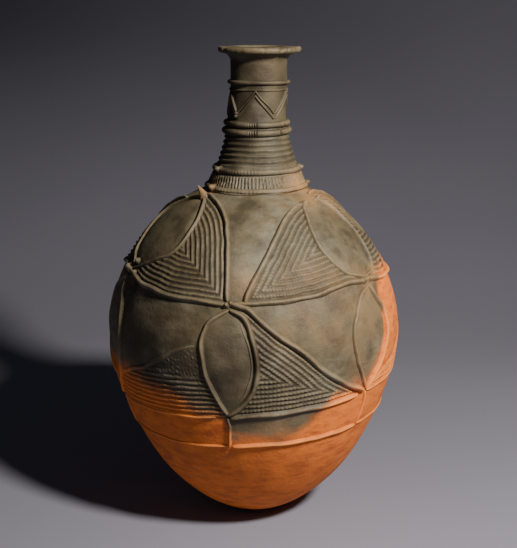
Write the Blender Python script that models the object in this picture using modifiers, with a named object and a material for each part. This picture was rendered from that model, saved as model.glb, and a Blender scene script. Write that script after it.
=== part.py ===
"""Round-bodied clay water pot: a moulded base, coiled walls, a collared neck, a flat rim and applied coils.

Run with: blender --background --python part.py
Units are metres, +Z is up, and the origin is the middle of the foot's flat face. Azimuth 0 faces -Y
and grows towards +X. Every piece of clay is its own object. The wall sections meet edge to edge, and
the coils, knobs and neck rings lie on the outside of the wall.
"""

import math

import bmesh
import bpy
from mathutils import Matrix, Vector

# Overall sizes.
HEIGHT = 0.454
FOOT_RADIUS = 0.024
BELLY_RADIUS = 0.1393
BELLY_Z = 0.193
NECK_BASE_RADIUS = 0.047
NECK_BASE_Z = 0.3225
NECK_RADIUS = 0.0262
NECK_STRAIGHT_Z = 0.408
RIM_RADIUS = 0.0375
RIM_THICKNESS = 0.006
RIM_EDGE = 0.0015
FLARE_RADIUS = 0.0085
BODY_WALL = 0.007
NECK_WALL = 0.0055

# Curve shapes: exponents of the two superellipse halves of the body and of the neck's taper.
LOWER_POWER = 1.81
UPPER_HEIGHT_POWER = 1.75
UPPER_RADIUS_POWER = 2.0
NECK_TAPER_POWER = 1.9

# Joints between the wall sections, and the gap that separate pieces keep.
GAP = 0.0004
BAND_LOW_Z = 0.1072
BAND_HIGH_Z = 0.1395
BAND_LOW_TILT = 0.0088
BAND_HIGH_TILT = 0.0120
BAND_TILT_AZIMUTH = 73.0
SHOULDER_JOINT_Z = 0.2455

# Coils laid on the wall.
COIL_WIDTH = 0.0058
COIL_HEIGHT = 0.0042
THIN_COIL_WIDTH = 0.0036
THIN_COIL_HEIGHT = 0.0024
COIL_CLEARANCE = 0.0008

# The six places round the belly where coils meet. Even ones carry an upper leaf.
NODE_AZIMUTHS = (-69.0, -9.5, 54.5, 116.0, 176.0, 236.0)
TIP_AZIMUTHS = (-71.0, -9.6, 48.2, 113.0, 173.0, 233.5)
CROWN_AZIMUTHS = (-60.0, -9.5, 55.5, 116.0, 176.0, 236.0)
NODE_Z_EVEN = 0.2510
NODE_Z_ODD = 0.2415
CROWN_Z = 0.3145
LOWER_LEAF_HALF_WIDTH = 0.0247
UPPER_LEAF_HALF_WIDTH = 0.0300
KNOB_RADIUS = 0.0055
KNOB_HEIGHT = 0.0070
HORN_RADIUS = 0.0042
HORN_HEIGHT = 0.0110

# Rings round the neck: name, height of the middle, width along the neck, how far it stands proud.
NECK_RINGS = (
    ("throat_ring", 0.4215, 0.0044, 0.0030),
    ("throat_bead", 0.4143, 0.0026, 0.0012),
    ("notched_ring_upper", 0.3839, 0.0062, 0.0042),
    ("notched_ring_lower", 0.3766, 0.0058, 0.0038),
    ("shoulder_collar_upper", 0.3418, 0.0056, 0.0036),
    ("shoulder_collar_lower", 0.3256, 0.0058, 0.0042),
)
FLUTE_TOP_Z = 0.3709
FLUTE_BOTTOM_Z = 0.3463
FLUTE_COUNT = 5
FLUTE_DEPTH = 0.0011
ZIGZAG_TOP_Z = 0.4100
ZIGZAG_BOTTOM_Z = 0.3908
ZIGZAG_COUNT = 5
ZIGZAG_AZIMUTH = -4.0

# The neck leans a little towards +X, in two steps, as (low z, high z, shift).
NECK_LEAN = ((0.300, 0.335, 0.0024), (0.385, 0.425, 0.0018))

# Mesh fineness.
WALL_STEPS = 40
RING_STEPS = 30
COIL_SIDES = 6
STATION_SPACING = 0.012

SMOKED = ("smoked_clay", (0.060, 0.052, 0.040), 0.62)
FIRED = ("fired_clay", (0.520, 0.165, 0.045), 0.70)


def clear_scene():
    for old in list(bpy.data.objects):
        bpy.data.objects.remove(old, do_unlink=True)


def new_material(name, colour, roughness):
    material = bpy.data.materials.new(name)
    material.use_nodes = True
    shader = material.node_tree.nodes["Principled BSDF"]
    shader.inputs["Base Color"].default_value = (*colour, 1.0)
    shader.inputs["Roughness"].default_value = roughness
    shader.inputs["Metallic"].default_value = 0.0
    return material


# The wall's outside as a function of height.

def reach_from_belly(far_z, far_radius, height_power, radius_power):
    """Half axis of the superellipse that starts at the belly and passes (far_radius, far_z)."""
    share = 1.0 - (far_radius / BELLY_RADIUS) ** radius_power
    return abs(far_z - BELLY_Z) / share ** (1.0 / height_power)


LOWER_REACH = reach_from_belly(0.0, FOOT_RADIUS, LOWER_POWER, LOWER_POWER)
UPPER_REACH = reach_from_belly(NECK_BASE_Z, NECK_BASE_RADIUS, UPPER_HEIGHT_POWER, UPPER_RADIUS_POWER)
RIM_BOTTOM_Z = HEIGHT - RIM_THICKNESS
FLARE_Z = RIM_BOTTOM_Z - FLARE_RADIUS


def superellipse(distance, reach, height_power, radius_power):
    return BELLY_RADIUS * max(0.0, 1.0 - (distance / reach) ** height_power) ** (1.0 / radius_power)


def wall_radius(z):
    if z <= BELLY_Z:
        return superellipse(BELLY_Z - z, LOWER_REACH, LOWER_POWER, LOWER_POWER)
    if z <= NECK_BASE_Z:
        return superellipse(z - BELLY_Z, UPPER_REACH, UPPER_HEIGHT_POWER, UPPER_RADIUS_POWER)
    if z <= NECK_STRAIGHT_Z:
        share = (NECK_STRAIGHT_Z - z) / (NECK_STRAIGHT_Z - NECK_BASE_Z)
        return NECK_RADIUS + (NECK_BASE_RADIUS - NECK_RADIUS) * share ** NECK_TAPER_POWER
    if z <= FLARE_Z:
        return NECK_RADIUS
    rise = min(z - FLARE_Z, FLARE_RADIUS)
    return NECK_RADIUS + FLARE_RADIUS - math.sqrt(FLARE_RADIUS ** 2 - rise ** 2)


def lean(z):
    """How far the leaning neck has moved towards +X at height z."""
    total = 0.0
    for low, high, shift in NECK_LEAN:
        share = min(1.0, max(0.0, (z - low) / (high - low)))
        total += shift * share * share * (3.0 - 2.0 * share)
    return total


def wall_normal(z):
    """Outward normal of the wall at height z, as (radial, vertical)."""
    step = 0.0004
    low = max(z - step, 0.0)
    slope = (wall_radius(z + step) - wall_radius(low)) / (z + step - low)
    length = math.hypot(1.0, slope)
    return 1.0 / length, -slope / length


def point_on_wall(azimuth, z, lift=0.0):
    """Point on the outside of the wall, moved outwards by lift. Azimuth is in degrees."""
    radial, vertical = wall_normal(z)
    radius = wall_radius(z) + lift * radial
    turn = math.radians(azimuth)
    return Vector((radius * math.sin(turn), -radius * math.cos(turn), z + lift * vertical))


def band_low(azimuth):
    """Height of the band's lower coil, which hides the joint of the base."""
    return BAND_LOW_Z + BAND_LOW_TILT * math.cos(math.radians(azimuth - BAND_TILT_AZIMUTH))


def band_high(azimuth):
    return BAND_HIGH_Z + BAND_HIGH_TILT * math.cos(math.radians(azimuth - BAND_TILT_AZIMUTH))


# Turned pieces.

def leaning(mesh):
    """Moves a mesh that stands in place along with the leaning neck."""
    for vertex in mesh.vertices:
        vertex.co.x += lean(vertex.co.z)
    return mesh


def finished(name, mesh, material, collection):
    mesh.materials.clear()
    mesh.materials.append(material)
    mesh.shade_smooth()
    mesh.set_sharp_from_angle(angle=math.radians(40))
    piece = bpy.data.objects.new(name, mesh)
    collection.objects.link(piece)
    return piece


def turned_mesh(outline, closed, steps):
    """Mesh of an outline of (radius, z) points turned about Z. It runs down the outer side."""
    bm = bmesh.new()
    corners = [bm.verts.new((radius, 0.0, z)) for radius, z in outline]
    pairs = list(zip(corners, corners[1:]))
    if closed:
        pairs.append((corners[-1], corners[0]))
    for first, second in pairs:
        bm.edges.new((first, second))
    profile = bpy.data.meshes.new("profile")
    bm.to_mesh(profile)
    bm.free()
    turner = bpy.data.objects.new("turner", profile)
    bpy.context.scene.collection.objects.link(turner)
    screw = turner.modifiers.new("turn", "SCREW")
    screw.steps = steps
    screw.render_steps = steps
    screw.use_merge_vertices = True
    screw.merge_threshold = 0.00001
    bpy.context.view_layer.update()
    graph = bpy.context.evaluated_depsgraph_get()
    mesh = bpy.data.meshes.new_from_object(turner.evaluated_get(graph))
    bpy.data.objects.remove(turner, do_unlink=True)
    bpy.data.meshes.remove(profile)
    return mesh


def outer_points(low, high, rows):
    heights = [low + (high - low) * row / rows for row in range(rows + 1)]
    return [(wall_radius(z), z) for z in reversed(heights)]


def inner_points(low, high, rows, thickness):
    points = []
    for row in range(rows + 1):
        z = low + (high - low) * row / rows
        radial, vertical = wall_normal(z)
        points.append((wall_radius(z) - thickness * radial, z - thickness * vertical))
    return points


def tilt_joint(mesh, z):
    """Moves the section's edge at height z, inside and outside, so that it follows the tilted band."""
    inner = inner_points(z, z + 1.0, 1, BODY_WALL)[0]
    for vertex in mesh.vertices:
        radius = math.hypot(vertex.co.x, vertex.co.y)
        azimuth = math.degrees(math.atan2(vertex.co.x, -vertex.co.y))
        moved = z + band_low(azimuth) - BAND_LOW_Z
        if abs(vertex.co.z - z) < 1e-6 and abs(radius - wall_radius(z)) < 1e-6:
            new_radius, new_z = wall_radius(moved), moved
        elif abs(vertex.co.z - inner[1]) < 1e-6 and abs(radius - inner[0]) < 1e-6:
            new_radius, new_z = inner_points(moved, moved + 1.0, 1, BODY_WALL)[0]
        else:
            continue
        vertex.co.x *= new_radius / radius
        vertex.co.y *= new_radius / radius
        vertex.co.z = new_z


def base_bowl():
    """The moulded base, from the flat foot up to the joint under the lower band coil."""
    rows = 9
    outer = outer_points(0.0, BAND_LOW_Z, rows) + [(0.0, 0.0)]
    inner = [(0.0, BODY_WALL)] + inner_points(0.012, BAND_LOW_Z, rows - 1, BODY_WALL)
    mesh = turned_mesh(outer + inner, True, WALL_STEPS)
    tilt_joint(mesh, BAND_LOW_Z)
    return mesh


def belly_wall():
    """The widest part of the wall, from the tilted joint to the joint under the girdle coils."""
    low = BAND_LOW_Z + GAP
    rows = 6
    outline = outer_points(low, SHOULDER_JOINT_Z, rows)
    outline += inner_points(low, SHOULDER_JOINT_Z, rows, BODY_WALL)
    mesh = turned_mesh(outline, True, WALL_STEPS)
    tilt_joint(mesh, low)
    return mesh


def shoulder_wall():
    """The dome that closes in from the girdle to the neck."""
    outline = outer_points(SHOULDER_JOINT_Z + GAP, NECK_BASE_Z, 6)
    outline += inner_points(SHOULDER_JOINT_Z + GAP, NECK_BASE_Z - GAP, 6, BODY_WALL)
    return turned_mesh(outline, True, WALL_STEPS)


def flute(z):
    """How deep the fluting cuts into the neck at height z."""
    if not FLUTE_BOTTOM_Z < z < FLUTE_TOP_Z:
        return 0.0
    turns = FLUTE_COUNT * (z - FLUTE_BOTTOM_Z) / (FLUTE_TOP_Z - FLUTE_BOTTOM_Z)
    return FLUTE_DEPTH * 0.5 * (1.0 - math.cos(2.0 * math.pi * turns))


def neck_tube():
    """The neck, from the shoulder to the underside of the rim, with its fluting cut in."""
    low = NECK_BASE_Z + GAP
    top = RIM_BOTTOM_Z - GAP
    flutes = [FLUTE_BOTTOM_Z + (FLUTE_TOP_Z - FLUTE_BOTTOM_Z) * step / (2 * FLUTE_COUNT)
              for step in range(2 * FLUTE_COUNT + 1)]
    flare = [FLARE_Z + (top - FLARE_Z) * share for share in (0.0, 0.45, 0.8, 1.0)]
    heights = sorted([low, 0.5 * (low + FLUTE_BOTTOM_Z), *flutes, 0.39, NECK_STRAIGHT_Z, *flare])
    outer = [(wall_radius(z) - flute(z), z) for z in reversed(heights)]
    bore = NECK_RADIUS - NECK_WALL
    inner = [(max(bore, wall_radius(z) - NECK_WALL), z) for z in (low, 0.335, 0.355, 0.38)]
    inner += [(bore, NECK_STRAIGHT_Z), (bore, top)]
    return turned_mesh(outer + inner, True, WALL_STEPS)


def rim_disc():
    """The flat rim round the mouth."""
    bore = NECK_RADIUS - NECK_WALL
    outline = [
        (RIM_RADIUS - RIM_EDGE, HEIGHT),
        (RIM_RADIUS, HEIGHT - RIM_EDGE),
        (RIM_RADIUS, RIM_BOTTOM_Z + RIM_EDGE),
        (RIM_RADIUS - RIM_EDGE, RIM_BOTTOM_Z),
        (bore, RIM_BOTTOM_Z),
        (bore, HEIGHT - RIM_EDGE),
        (bore + RIM_EDGE, HEIGHT),
    ]
    return turned_mesh(outline, True, WALL_STEPS)


def neck_ring(z, width, proud):
    """A coil wrapped round the neck. Its back follows the neck's taper."""
    half = 0.5 * width
    section = []
    for angle in (90.0, 45.0, 0.0, -45.0, -90.0):
        turn = math.radians(angle)
        height = z + half * math.sin(turn)
        lift = GAP + proud * max(0.25, math.cos(turn))
        section.append((wall_radius(height) + lift, height))
    back = [(wall_radius(z - half) + GAP, z - half), (wall_radius(z + half) + GAP, z + half)]
    return turned_mesh(section + back, True, WALL_STEPS)


# Coils laid along routes on the wall.

def through_points(points, per_leg=24):
    """Smooth curve through (azimuth, z) points, as a dense list."""
    ends = [points[0], *points, points[-1]]
    dense = []
    for a, b, c, d in zip(ends, ends[1:], ends[2:], ends[3:]):
        for step in range(per_leg):
            t = step / per_leg
            dense.append(tuple(
                0.5 * (2 * q + (r - p) * t + (2 * p - 5 * q + 4 * r - s) * t ** 2
                       + (3 * q - p - 3 * r + s) * t ** 3)
                for p, q, r, s in zip(a, b, c, d)))
    dense.append(points[-1])
    return dense


def evenly_spaced(dense):
    """The dense route again, at stations an even distance apart along the wall."""
    places = [point_on_wall(*place) for place in dense]
    travelled = [0.0]
    for first, second in zip(places, places[1:]):
        travelled.append(travelled[-1] + (second - first).length)
    count = max(4, round(travelled[-1] / STATION_SPACING))
    stations = []
    leg = 0
    for index in range(count + 1):
        target = travelled[-1] * index / count
        while leg < len(dense) - 2 and travelled[leg + 1] < target:
            leg += 1
        share = (target - travelled[leg]) / (travelled[leg + 1] - travelled[leg])
        stations.append(tuple(p + (q - p) * share for p, q in zip(dense[leg], dense[leg + 1])))
    return stations, travelled[-1]


def place_section(stations, index, across, lift, closed=False):
    """A point of the coil's section at one station, across the route and off the wall."""
    last = len(stations) - 1
    before = stations[(index - 1) % len(stations)] if closed else stations[max(index - 1, 0)]
    after = stations[(index + 1) % len(stations)] if closed else stations[min(index + 1, last)]
    azimuth, z = stations[index]
    radial, vertical = wall_normal(z)
    turn = math.radians(azimuth)
    normal = Vector((radial * math.sin(turn), -radial * math.cos(turn), vertical))
    along = point_on_wall(*after) - point_on_wall(*before)
    side = normal.cross(along).normalized()
    sag = along.length_squared / (32.0 * wall_radius(z))
    return point_on_wall(azimuth, z) + side * across + normal * (lift + GAP + sag)


def face_outwards(bm):
    """Turns every face of a closed body outwards."""
    if bm.calc_volume(signed=True) < 0.0:
        bmesh.ops.reverse_faces(bm, faces=bm.faces)


def loaf(x, y):
    """Turns a point of a unit circle into (across, lift) shares of a flat-backed coil."""
    return x, min(1.0, max(0.0, (y + 0.3) / 1.3))


def coil_mesh(points, width, height):
    """A rolled coil of clay, laid along the route through points and rounded at both ends."""
    stations, length = evenly_spaced(through_points(points))
    bm = bmesh.new()
    bmesh.ops.create_cone(bm, cap_ends=True, segments=COIL_SIDES, radius1=1.0, radius2=1.0, depth=1.0)
    lengthwise = [edge for edge in bm.edges if abs(edge.verts[0].co.z - edge.verts[1].co.z) > 0.5]
    bmesh.ops.subdivide_edges(bm, edges=lengthwise, cuts=len(stations) - 2, use_grid_fill=True)
    rounding = 1.2 * width
    for vertex in bm.verts:
        index = round((vertex.co.z + 0.5) * (len(stations) - 1))
        from_end = min(index, len(stations) - 1 - index) * length / (len(stations) - 1)
        size = max(0.45, math.sqrt(max(0.0, 1.0 - max(0.0, 1.0 - from_end / rounding) ** 2)))
        across, lift = loaf(vertex.co.x, vertex.co.y)
        vertex.co = place_section(stations, index, -across * 0.5 * width * size, lift * height * size)
    face_outwards(bm)
    mesh = bpy.data.meshes.new("coil")
    bm.to_mesh(mesh)
    bm.free()
    return mesh


def hoop_mesh(height_at, count, width, height):
    """A closed coil round the pot. height_at gives its height on the wall at an azimuth."""
    bpy.ops.mesh.primitive_torus_add(major_segments=count, minor_segments=COIL_SIDES,
                                     major_radius=1.0, minor_radius=0.25)
    torus = bpy.context.object
    mesh = torus.data.copy()
    bpy.data.objects.remove(torus, do_unlink=True)
    stations = [(360.0 * index / count, height_at(360.0 * index / count)) for index in range(count)]
    for vertex in mesh.vertices:
        turn = math.atan2(vertex.co.y, vertex.co.x)
        index = round(turn / (2.0 * math.pi) * count) % count
        outward = (math.hypot(vertex.co.x, vertex.co.y) - 1.0) / 0.25
        across, lift = loaf(vertex.co.z / 0.25, outward)
        vertex.co = place_section(stations, index, across * 0.5 * width, lift * height, closed=True)
    bm = bmesh.new()
    bm.from_mesh(mesh)
    face_outwards(bm)
    bm.to_mesh(mesh)
    bm.free()
    return mesh


def zigzag_height(azimuth):
    """Height of the zigzag coil round the neck."""
    phase = (azimuth - ZIGZAG_AZIMUTH) / 360.0 * ZIGZAG_COUNT
    wave = math.asin(0.985 * math.cos(2.0 * math.pi * phase)) / (0.5 * math.pi)
    middle = 0.5 * (ZIGZAG_TOP_Z + ZIGZAG_BOTTOM_Z)
    return middle + 0.5 * (ZIGZAG_TOP_Z - ZIGZAG_BOTTOM_Z) * wave


def knob_mesh(radius, height, point=0.0):
    """A pressed-on knob with a flat back, lying in its own XY plane. point draws its tip out."""
    bm = bmesh.new()
    bmesh.ops.create_uvsphere(bm, u_segments=8, v_segments=6, radius=1.0)
    for vertex in bm.verts:
        lift = max(0.0, vertex.co.z)
        spread = 1.0 - point * lift if vertex.co.z > 0 else 1.0
        vertex.co = Vector((vertex.co.x * radius * spread, vertex.co.y * radius * spread, lift * height))
    bmesh.ops.remove_doubles(bm, verts=bm.verts, dist=1e-6)
    mesh = bpy.data.meshes.new("knob")
    bm.to_mesh(mesh)
    bm.free()
    return mesh


def stand_on_wall(piece, azimuth, z, radius):
    """Places a knob so that its flat back clears the curved wall by the gap."""
    radial, vertical = wall_normal(z)
    turn = math.radians(azimuth)
    normal = Vector((radial * math.sin(turn), -radial * math.cos(turn), vertical))
    up = Vector((-vertical * math.sin(turn), vertical * math.cos(turn), radial))
    side = up.cross(normal)
    place = point_on_wall(azimuth, z, GAP) + Vector((lean(z), 0.0, 0.0))
    piece.matrix_world = (Matrix.Translation(place)
                          @ Matrix((side, up, normal)).transposed().to_4x4())


# Routes, as lists of (azimuth, z) places chosen by hand.

def degrees_for(width, z):
    """The angle that a width along the wall spans at height z."""
    return math.degrees(width / wall_radius(z))


def node_z(index):
    return NODE_Z_ODD if index % 2 else NODE_Z_EVEN


def leaf_route(top, bottom, half_width, outline):
    """Down the left of a leaf, round its tip and up its right. top and bottom are (azimuth, z)."""
    middle_azimuth = 0.5 * (top[0] + bottom[0])
    left = []
    right = []
    for across, height in outline:
        z = 0.5 * (top[1] + bottom[1]) + 0.5 * (top[1] - bottom[1]) * height
        lean = middle_azimuth + 0.5 * (top[0] - bottom[0]) * height
        left.append((lean - degrees_for(half_width * across, z), z))
        right.append((lean + degrees_for(half_width * across, z), z))
    return [*left, bottom, *reversed(right)]


LOWER_LEAF_OUTLINE = ((0.40, 0.80), (0.79, 0.60), (0.98, 0.30), (1.00, 0.0), (0.90, -0.30),
                      (0.63, -0.60), (0.27, -0.87))
UPPER_LEAF_OUTLINE = ((0.30, 0.86), (0.72, 0.66), (0.97, 0.32), (1.00, 0.0), (0.90, -0.35),
                      (0.58, -0.68), (0.22, -0.91))


def lower_leaf_route(index):
    azimuth = NODE_AZIMUTHS[index]
    tip_azimuth = TIP_AZIMUTHS[index]
    tip_z = band_high(tip_azimuth) + COIL_WIDTH + COIL_CLEARANCE
    top = (azimuth, node_z(index) - COIL_WIDTH)
    return leaf_route(top, (tip_azimuth, tip_z), LOWER_LEAF_HALF_WIDTH, LOWER_LEAF_OUTLINE)


def upper_leaf_route(index):
    azimuth = NODE_AZIMUTHS[index]
    tip = (azimuth, node_z(index) + 1.6 * COIL_WIDTH)
    return leaf_route((CROWN_AZIMUTHS[index], CROWN_Z), tip, UPPER_LEAF_HALF_WIDTH, UPPER_LEAF_OUTLINE)


def girdle_route(index):
    """From one meeting place to the next, round the belly, between the two knobs."""
    start, end = NODE_AZIMUTHS[index], next_azimuth(index)
    low, high = node_z(index), node_z(index + 1)
    stand_off = degrees_for(KNOB_RADIUS + COIL_CLEARANCE + 0.002, low)
    rise = 0.7 if high > low else 0.3
    between = start + (end - start) * 0.5
    return [(start + stand_off, low), (between, low + (high - low) * rise), (end - stand_off, high)]


def next_azimuth(index):
    """Azimuth of the next meeting place, going round without a jump."""
    following = NODE_AZIMUTHS[(index + 1) % len(NODE_AZIMUTHS)]
    return following + (360.0 if following < NODE_AZIMUTHS[index] else 0.0)


def last_azimuth(index):
    """Azimuth of the meeting place before, going round without a jump."""
    before = NODE_AZIMUTHS[index - 1]
    return before - (360.0 if before > NODE_AZIMUTHS[index] else 0.0)


RIGHT_SWEEP = ((0.66, 0.3122), (0.55, 0.3084), (0.44, 0.3018), (0.33, 0.2913), (0.26, 0.2812), (0.205, 0.2715),
               (0.156, 0.2617), (0.127, 0.2545))
LEFT_SWEEP = ((0.66, 0.3180), (0.43, 0.3163), (0.29, 0.3124), (0.18, 0.3068), (0.116, 0.2999), (0.077, 0.2913),
              (0.052, 0.2803), (0.035, 0.2690), (0.024, 0.2590), (0.02, 0.2520))
RIGHT_DIAGONAL = ((0.172, 0.2331), (0.263, 0.2224), (0.385, 0.2092), (0.508, 0.1954), (0.648, 0.1778),
                  (0.79, 0.1650))


def sweep_route(index, towards):
    """From beside the crown of a leaf down to an odd meeting place, on its right or left."""
    azimuth = NODE_AZIMUTHS[index]
    if towards == "right":
        span = next_azimuth(index) - azimuth
        return [(azimuth + share * span, z) for share, z in RIGHT_SWEEP]
    span = azimuth - last_azimuth(index)
    return [(azimuth - share * span, z) for share, z in LEFT_SWEEP]


def tip_azimuth(index, towards):
    """Azimuth of the lower leaf's tip on the right or left of an odd meeting place."""
    neighbour = index + 1 if towards == "right" else index - 1
    azimuth = TIP_AZIMUTHS[neighbour % len(TIP_AZIMUTHS)]
    return azimuth + (360.0 if neighbour == len(TIP_AZIMUTHS) else 0.0)


def diagonal_route(index, towards):
    """From an odd meeting place down to the tip of the next leaf, right or left."""
    azimuth = NODE_AZIMUTHS[index]
    tip = tip_azimuth(index, towards)
    side = 1.0 if towards == "right" else -1.0
    end = tip - side * degrees_for(1.9 * COIL_WIDTH, BAND_HIGH_Z)
    end_place = (end, band_high(end) + 1.45 * COIL_WIDTH)
    if towards == "right":
        return [(azimuth + share * (tip - azimuth), z) for share, z in RIGHT_DIAGONAL] + [end_place]
    start = azimuth + 0.27 * (tip - azimuth)
    start_z = NODE_Z_ODD - 0.0400
    sag = 0.0030
    return [(start + (end - start) * t, start_z + (end_place[1] - start_z) * t - sag * math.sin(math.pi * t))
            for t in (0.0, 0.25, 0.5, 0.75, 1.0)]


def tie_route(index):
    """The short upright coil that closes a cell of the band below a leaf's tip."""
    azimuth = TIP_AZIMUTHS[index]
    clear = 0.5 * COIL_WIDTH + 0.5 * THIN_COIL_WIDTH + COIL_CLEARANCE
    return [(azimuth, band_high(azimuth) - clear), (azimuth, band_low(azimuth) + clear)]


def main():
    clear_scene()
    collection = bpy.data.collections.new("clay_water_pot")
    bpy.context.scene.collection.children.link(collection)
    smoked = new_material(*SMOKED)
    fired = new_material(*FIRED)

    def add(name, mesh, material=smoked):
        return finished(name, leaning(mesh), material, collection)

    def stand(name, mesh, azimuth, z, radius):
        stand_on_wall(finished(name, mesh, smoked, collection), azimuth, z, radius)

    add("base_bowl", base_bowl(), fired)
    add("belly_wall", belly_wall())
    add("shoulder_wall", shoulder_wall())
    add("neck_tube", neck_tube())
    add("rim_disc", rim_disc())
    for name, z, width, proud in NECK_RINGS:
        add(name, neck_ring(z, width, proud))
    add("neck_zigzag", hoop_mesh(zigzag_height, 12 * ZIGZAG_COUNT, THIN_COIL_WIDTH, THIN_COIL_HEIGHT))
    add("band_coil_low", hoop_mesh(band_low, WALL_STEPS, COIL_WIDTH, COIL_HEIGHT), fired)
    add("band_coil_high", hoop_mesh(band_high, WALL_STEPS, COIL_WIDTH, COIL_HEIGHT))

    knob = knob_mesh(KNOB_RADIUS, KNOB_HEIGHT)
    horn = knob_mesh(HORN_RADIUS, HORN_HEIGHT, point=0.4)
    for index, azimuth in enumerate(NODE_AZIMUTHS):
        number = index + 1
        stand(f"girdle_knob_{number}", knob, azimuth, node_z(index), KNOB_RADIUS)
        add(f"girdle_coil_{number}", coil_mesh(girdle_route(index), COIL_WIDTH, COIL_HEIGHT))
        add(f"lower_leaf_{number}", coil_mesh(lower_leaf_route(index), COIL_WIDTH, COIL_HEIGHT))
        add(f"band_tie_{number}", coil_mesh(tie_route(index), THIN_COIL_WIDTH, THIN_COIL_HEIGHT), fired)
        if index % 2:
            add(f"sweep_coil_right_{number}", coil_mesh(sweep_route(index, "right"), COIL_WIDTH, COIL_HEIGHT))
            add(f"sweep_coil_left_{number}", coil_mesh(sweep_route(index, "left"), COIL_WIDTH, COIL_HEIGHT))
            add(f"diagonal_coil_right_{number}", coil_mesh(diagonal_route(index, "right"), COIL_WIDTH, COIL_HEIGHT))
            add(f"diagonal_coil_left_{number}",
                coil_mesh(diagonal_route(index, "left"), THIN_COIL_WIDTH, THIN_COIL_HEIGHT))
        else:
            add(f"upper_leaf_{number}", coil_mesh(upper_leaf_route(index), COIL_WIDTH, COIL_HEIGHT))
            stand(f"crown_horn_{number}", horn, CROWN_AZIMUTHS[index], CROWN_Z, HORN_RADIUS)


main()
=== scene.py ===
"""A hand-built clay water pot, smoked dark above and bare orange below, standing on a pale floor.

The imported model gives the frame, the sizes and the body that every piece rides on. Azimuths are in
degrees, 0 faces -Y and they grow towards +X. Heights and lengths are in metres.
"""

from __future__ import annotations

import logging
import math
from dataclasses import dataclass, field
from enum import Enum
from typing import Sequence

import bpy
import numpy as np
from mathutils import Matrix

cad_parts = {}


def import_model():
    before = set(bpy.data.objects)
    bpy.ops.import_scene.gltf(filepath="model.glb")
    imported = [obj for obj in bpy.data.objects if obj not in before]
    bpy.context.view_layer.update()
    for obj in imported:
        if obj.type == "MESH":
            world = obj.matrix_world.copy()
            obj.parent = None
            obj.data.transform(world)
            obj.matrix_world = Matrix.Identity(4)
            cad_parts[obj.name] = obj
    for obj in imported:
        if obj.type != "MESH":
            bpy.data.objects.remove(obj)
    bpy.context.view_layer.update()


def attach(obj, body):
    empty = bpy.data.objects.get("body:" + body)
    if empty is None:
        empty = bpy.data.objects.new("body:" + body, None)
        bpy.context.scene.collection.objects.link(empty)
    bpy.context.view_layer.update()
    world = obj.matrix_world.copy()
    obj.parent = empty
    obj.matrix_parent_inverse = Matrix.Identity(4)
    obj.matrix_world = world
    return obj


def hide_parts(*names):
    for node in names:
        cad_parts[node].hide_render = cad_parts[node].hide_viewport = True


LOG = logging.getLogger("water_pot")
Place = tuple[float, float]
FULL_TURN = 360.0
MEETING_PLACES = 6


class Slot(Enum):
    """The record's material slots."""

    SMOKED = "smoked_clay"
    FIRED = "fired_clay"


class Lumps:
    """Smooth unevenness of hand-worked clay: a few plane waves that cross each other."""

    def __init__(self, seed: int, size: float, count: int = 12) -> None:
        """Draws the waves.

        Args:
            seed: Picks the waves, the same ones each time.
            size: Rough length of a lump in metres.
            count: How many waves are added up.
        """
        source = np.random.default_rng(seed)
        ways = source.normal(size=(count, 3))
        ways /= np.linalg.norm(ways, axis=1)[:, None]
        self.ways = ways * (2.0 * math.pi / size) * source.uniform(0.55, 1.5, count)[:, None]
        self.phases = source.uniform(0.0, 2.0 * math.pi, count)

    def at(self, places: np.ndarray) -> np.ndarray:
        """Unevenness at each place.

        Args:
            places: Points, one a row.

        Returns:
            One value a point, about -1 to 1.
        """
        waves = np.sin(places @ self.ways.T + self.phases)
        return waves.sum(axis=1) / math.sqrt(0.5 * len(self.phases)) * 0.5


def ease(values: np.ndarray, low: float, high: float) -> np.ndarray:
    """Goes smoothly from 0 at low to 1 at high.

    Args:
        values: What is eased.
        low: Where the rise starts.
        high: Where it ends.

    Returns:
        The eased values.
    """
    share = np.clip((values - low) / (high - low), 0.0, 1.0)
    return share * share * (3.0 - 2.0 * share)


def ease_number(value: float, low: float, high: float) -> float:
    """The same as ease, for one number."""
    return float(ease(np.array([value]), low, high)[0])


def bearings(points: np.ndarray) -> np.ndarray:
    """Azimuth of each point in degrees, -180 to 180."""
    return np.degrees(np.arctan2(points[:, 0], -points[:, 1]))


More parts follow.
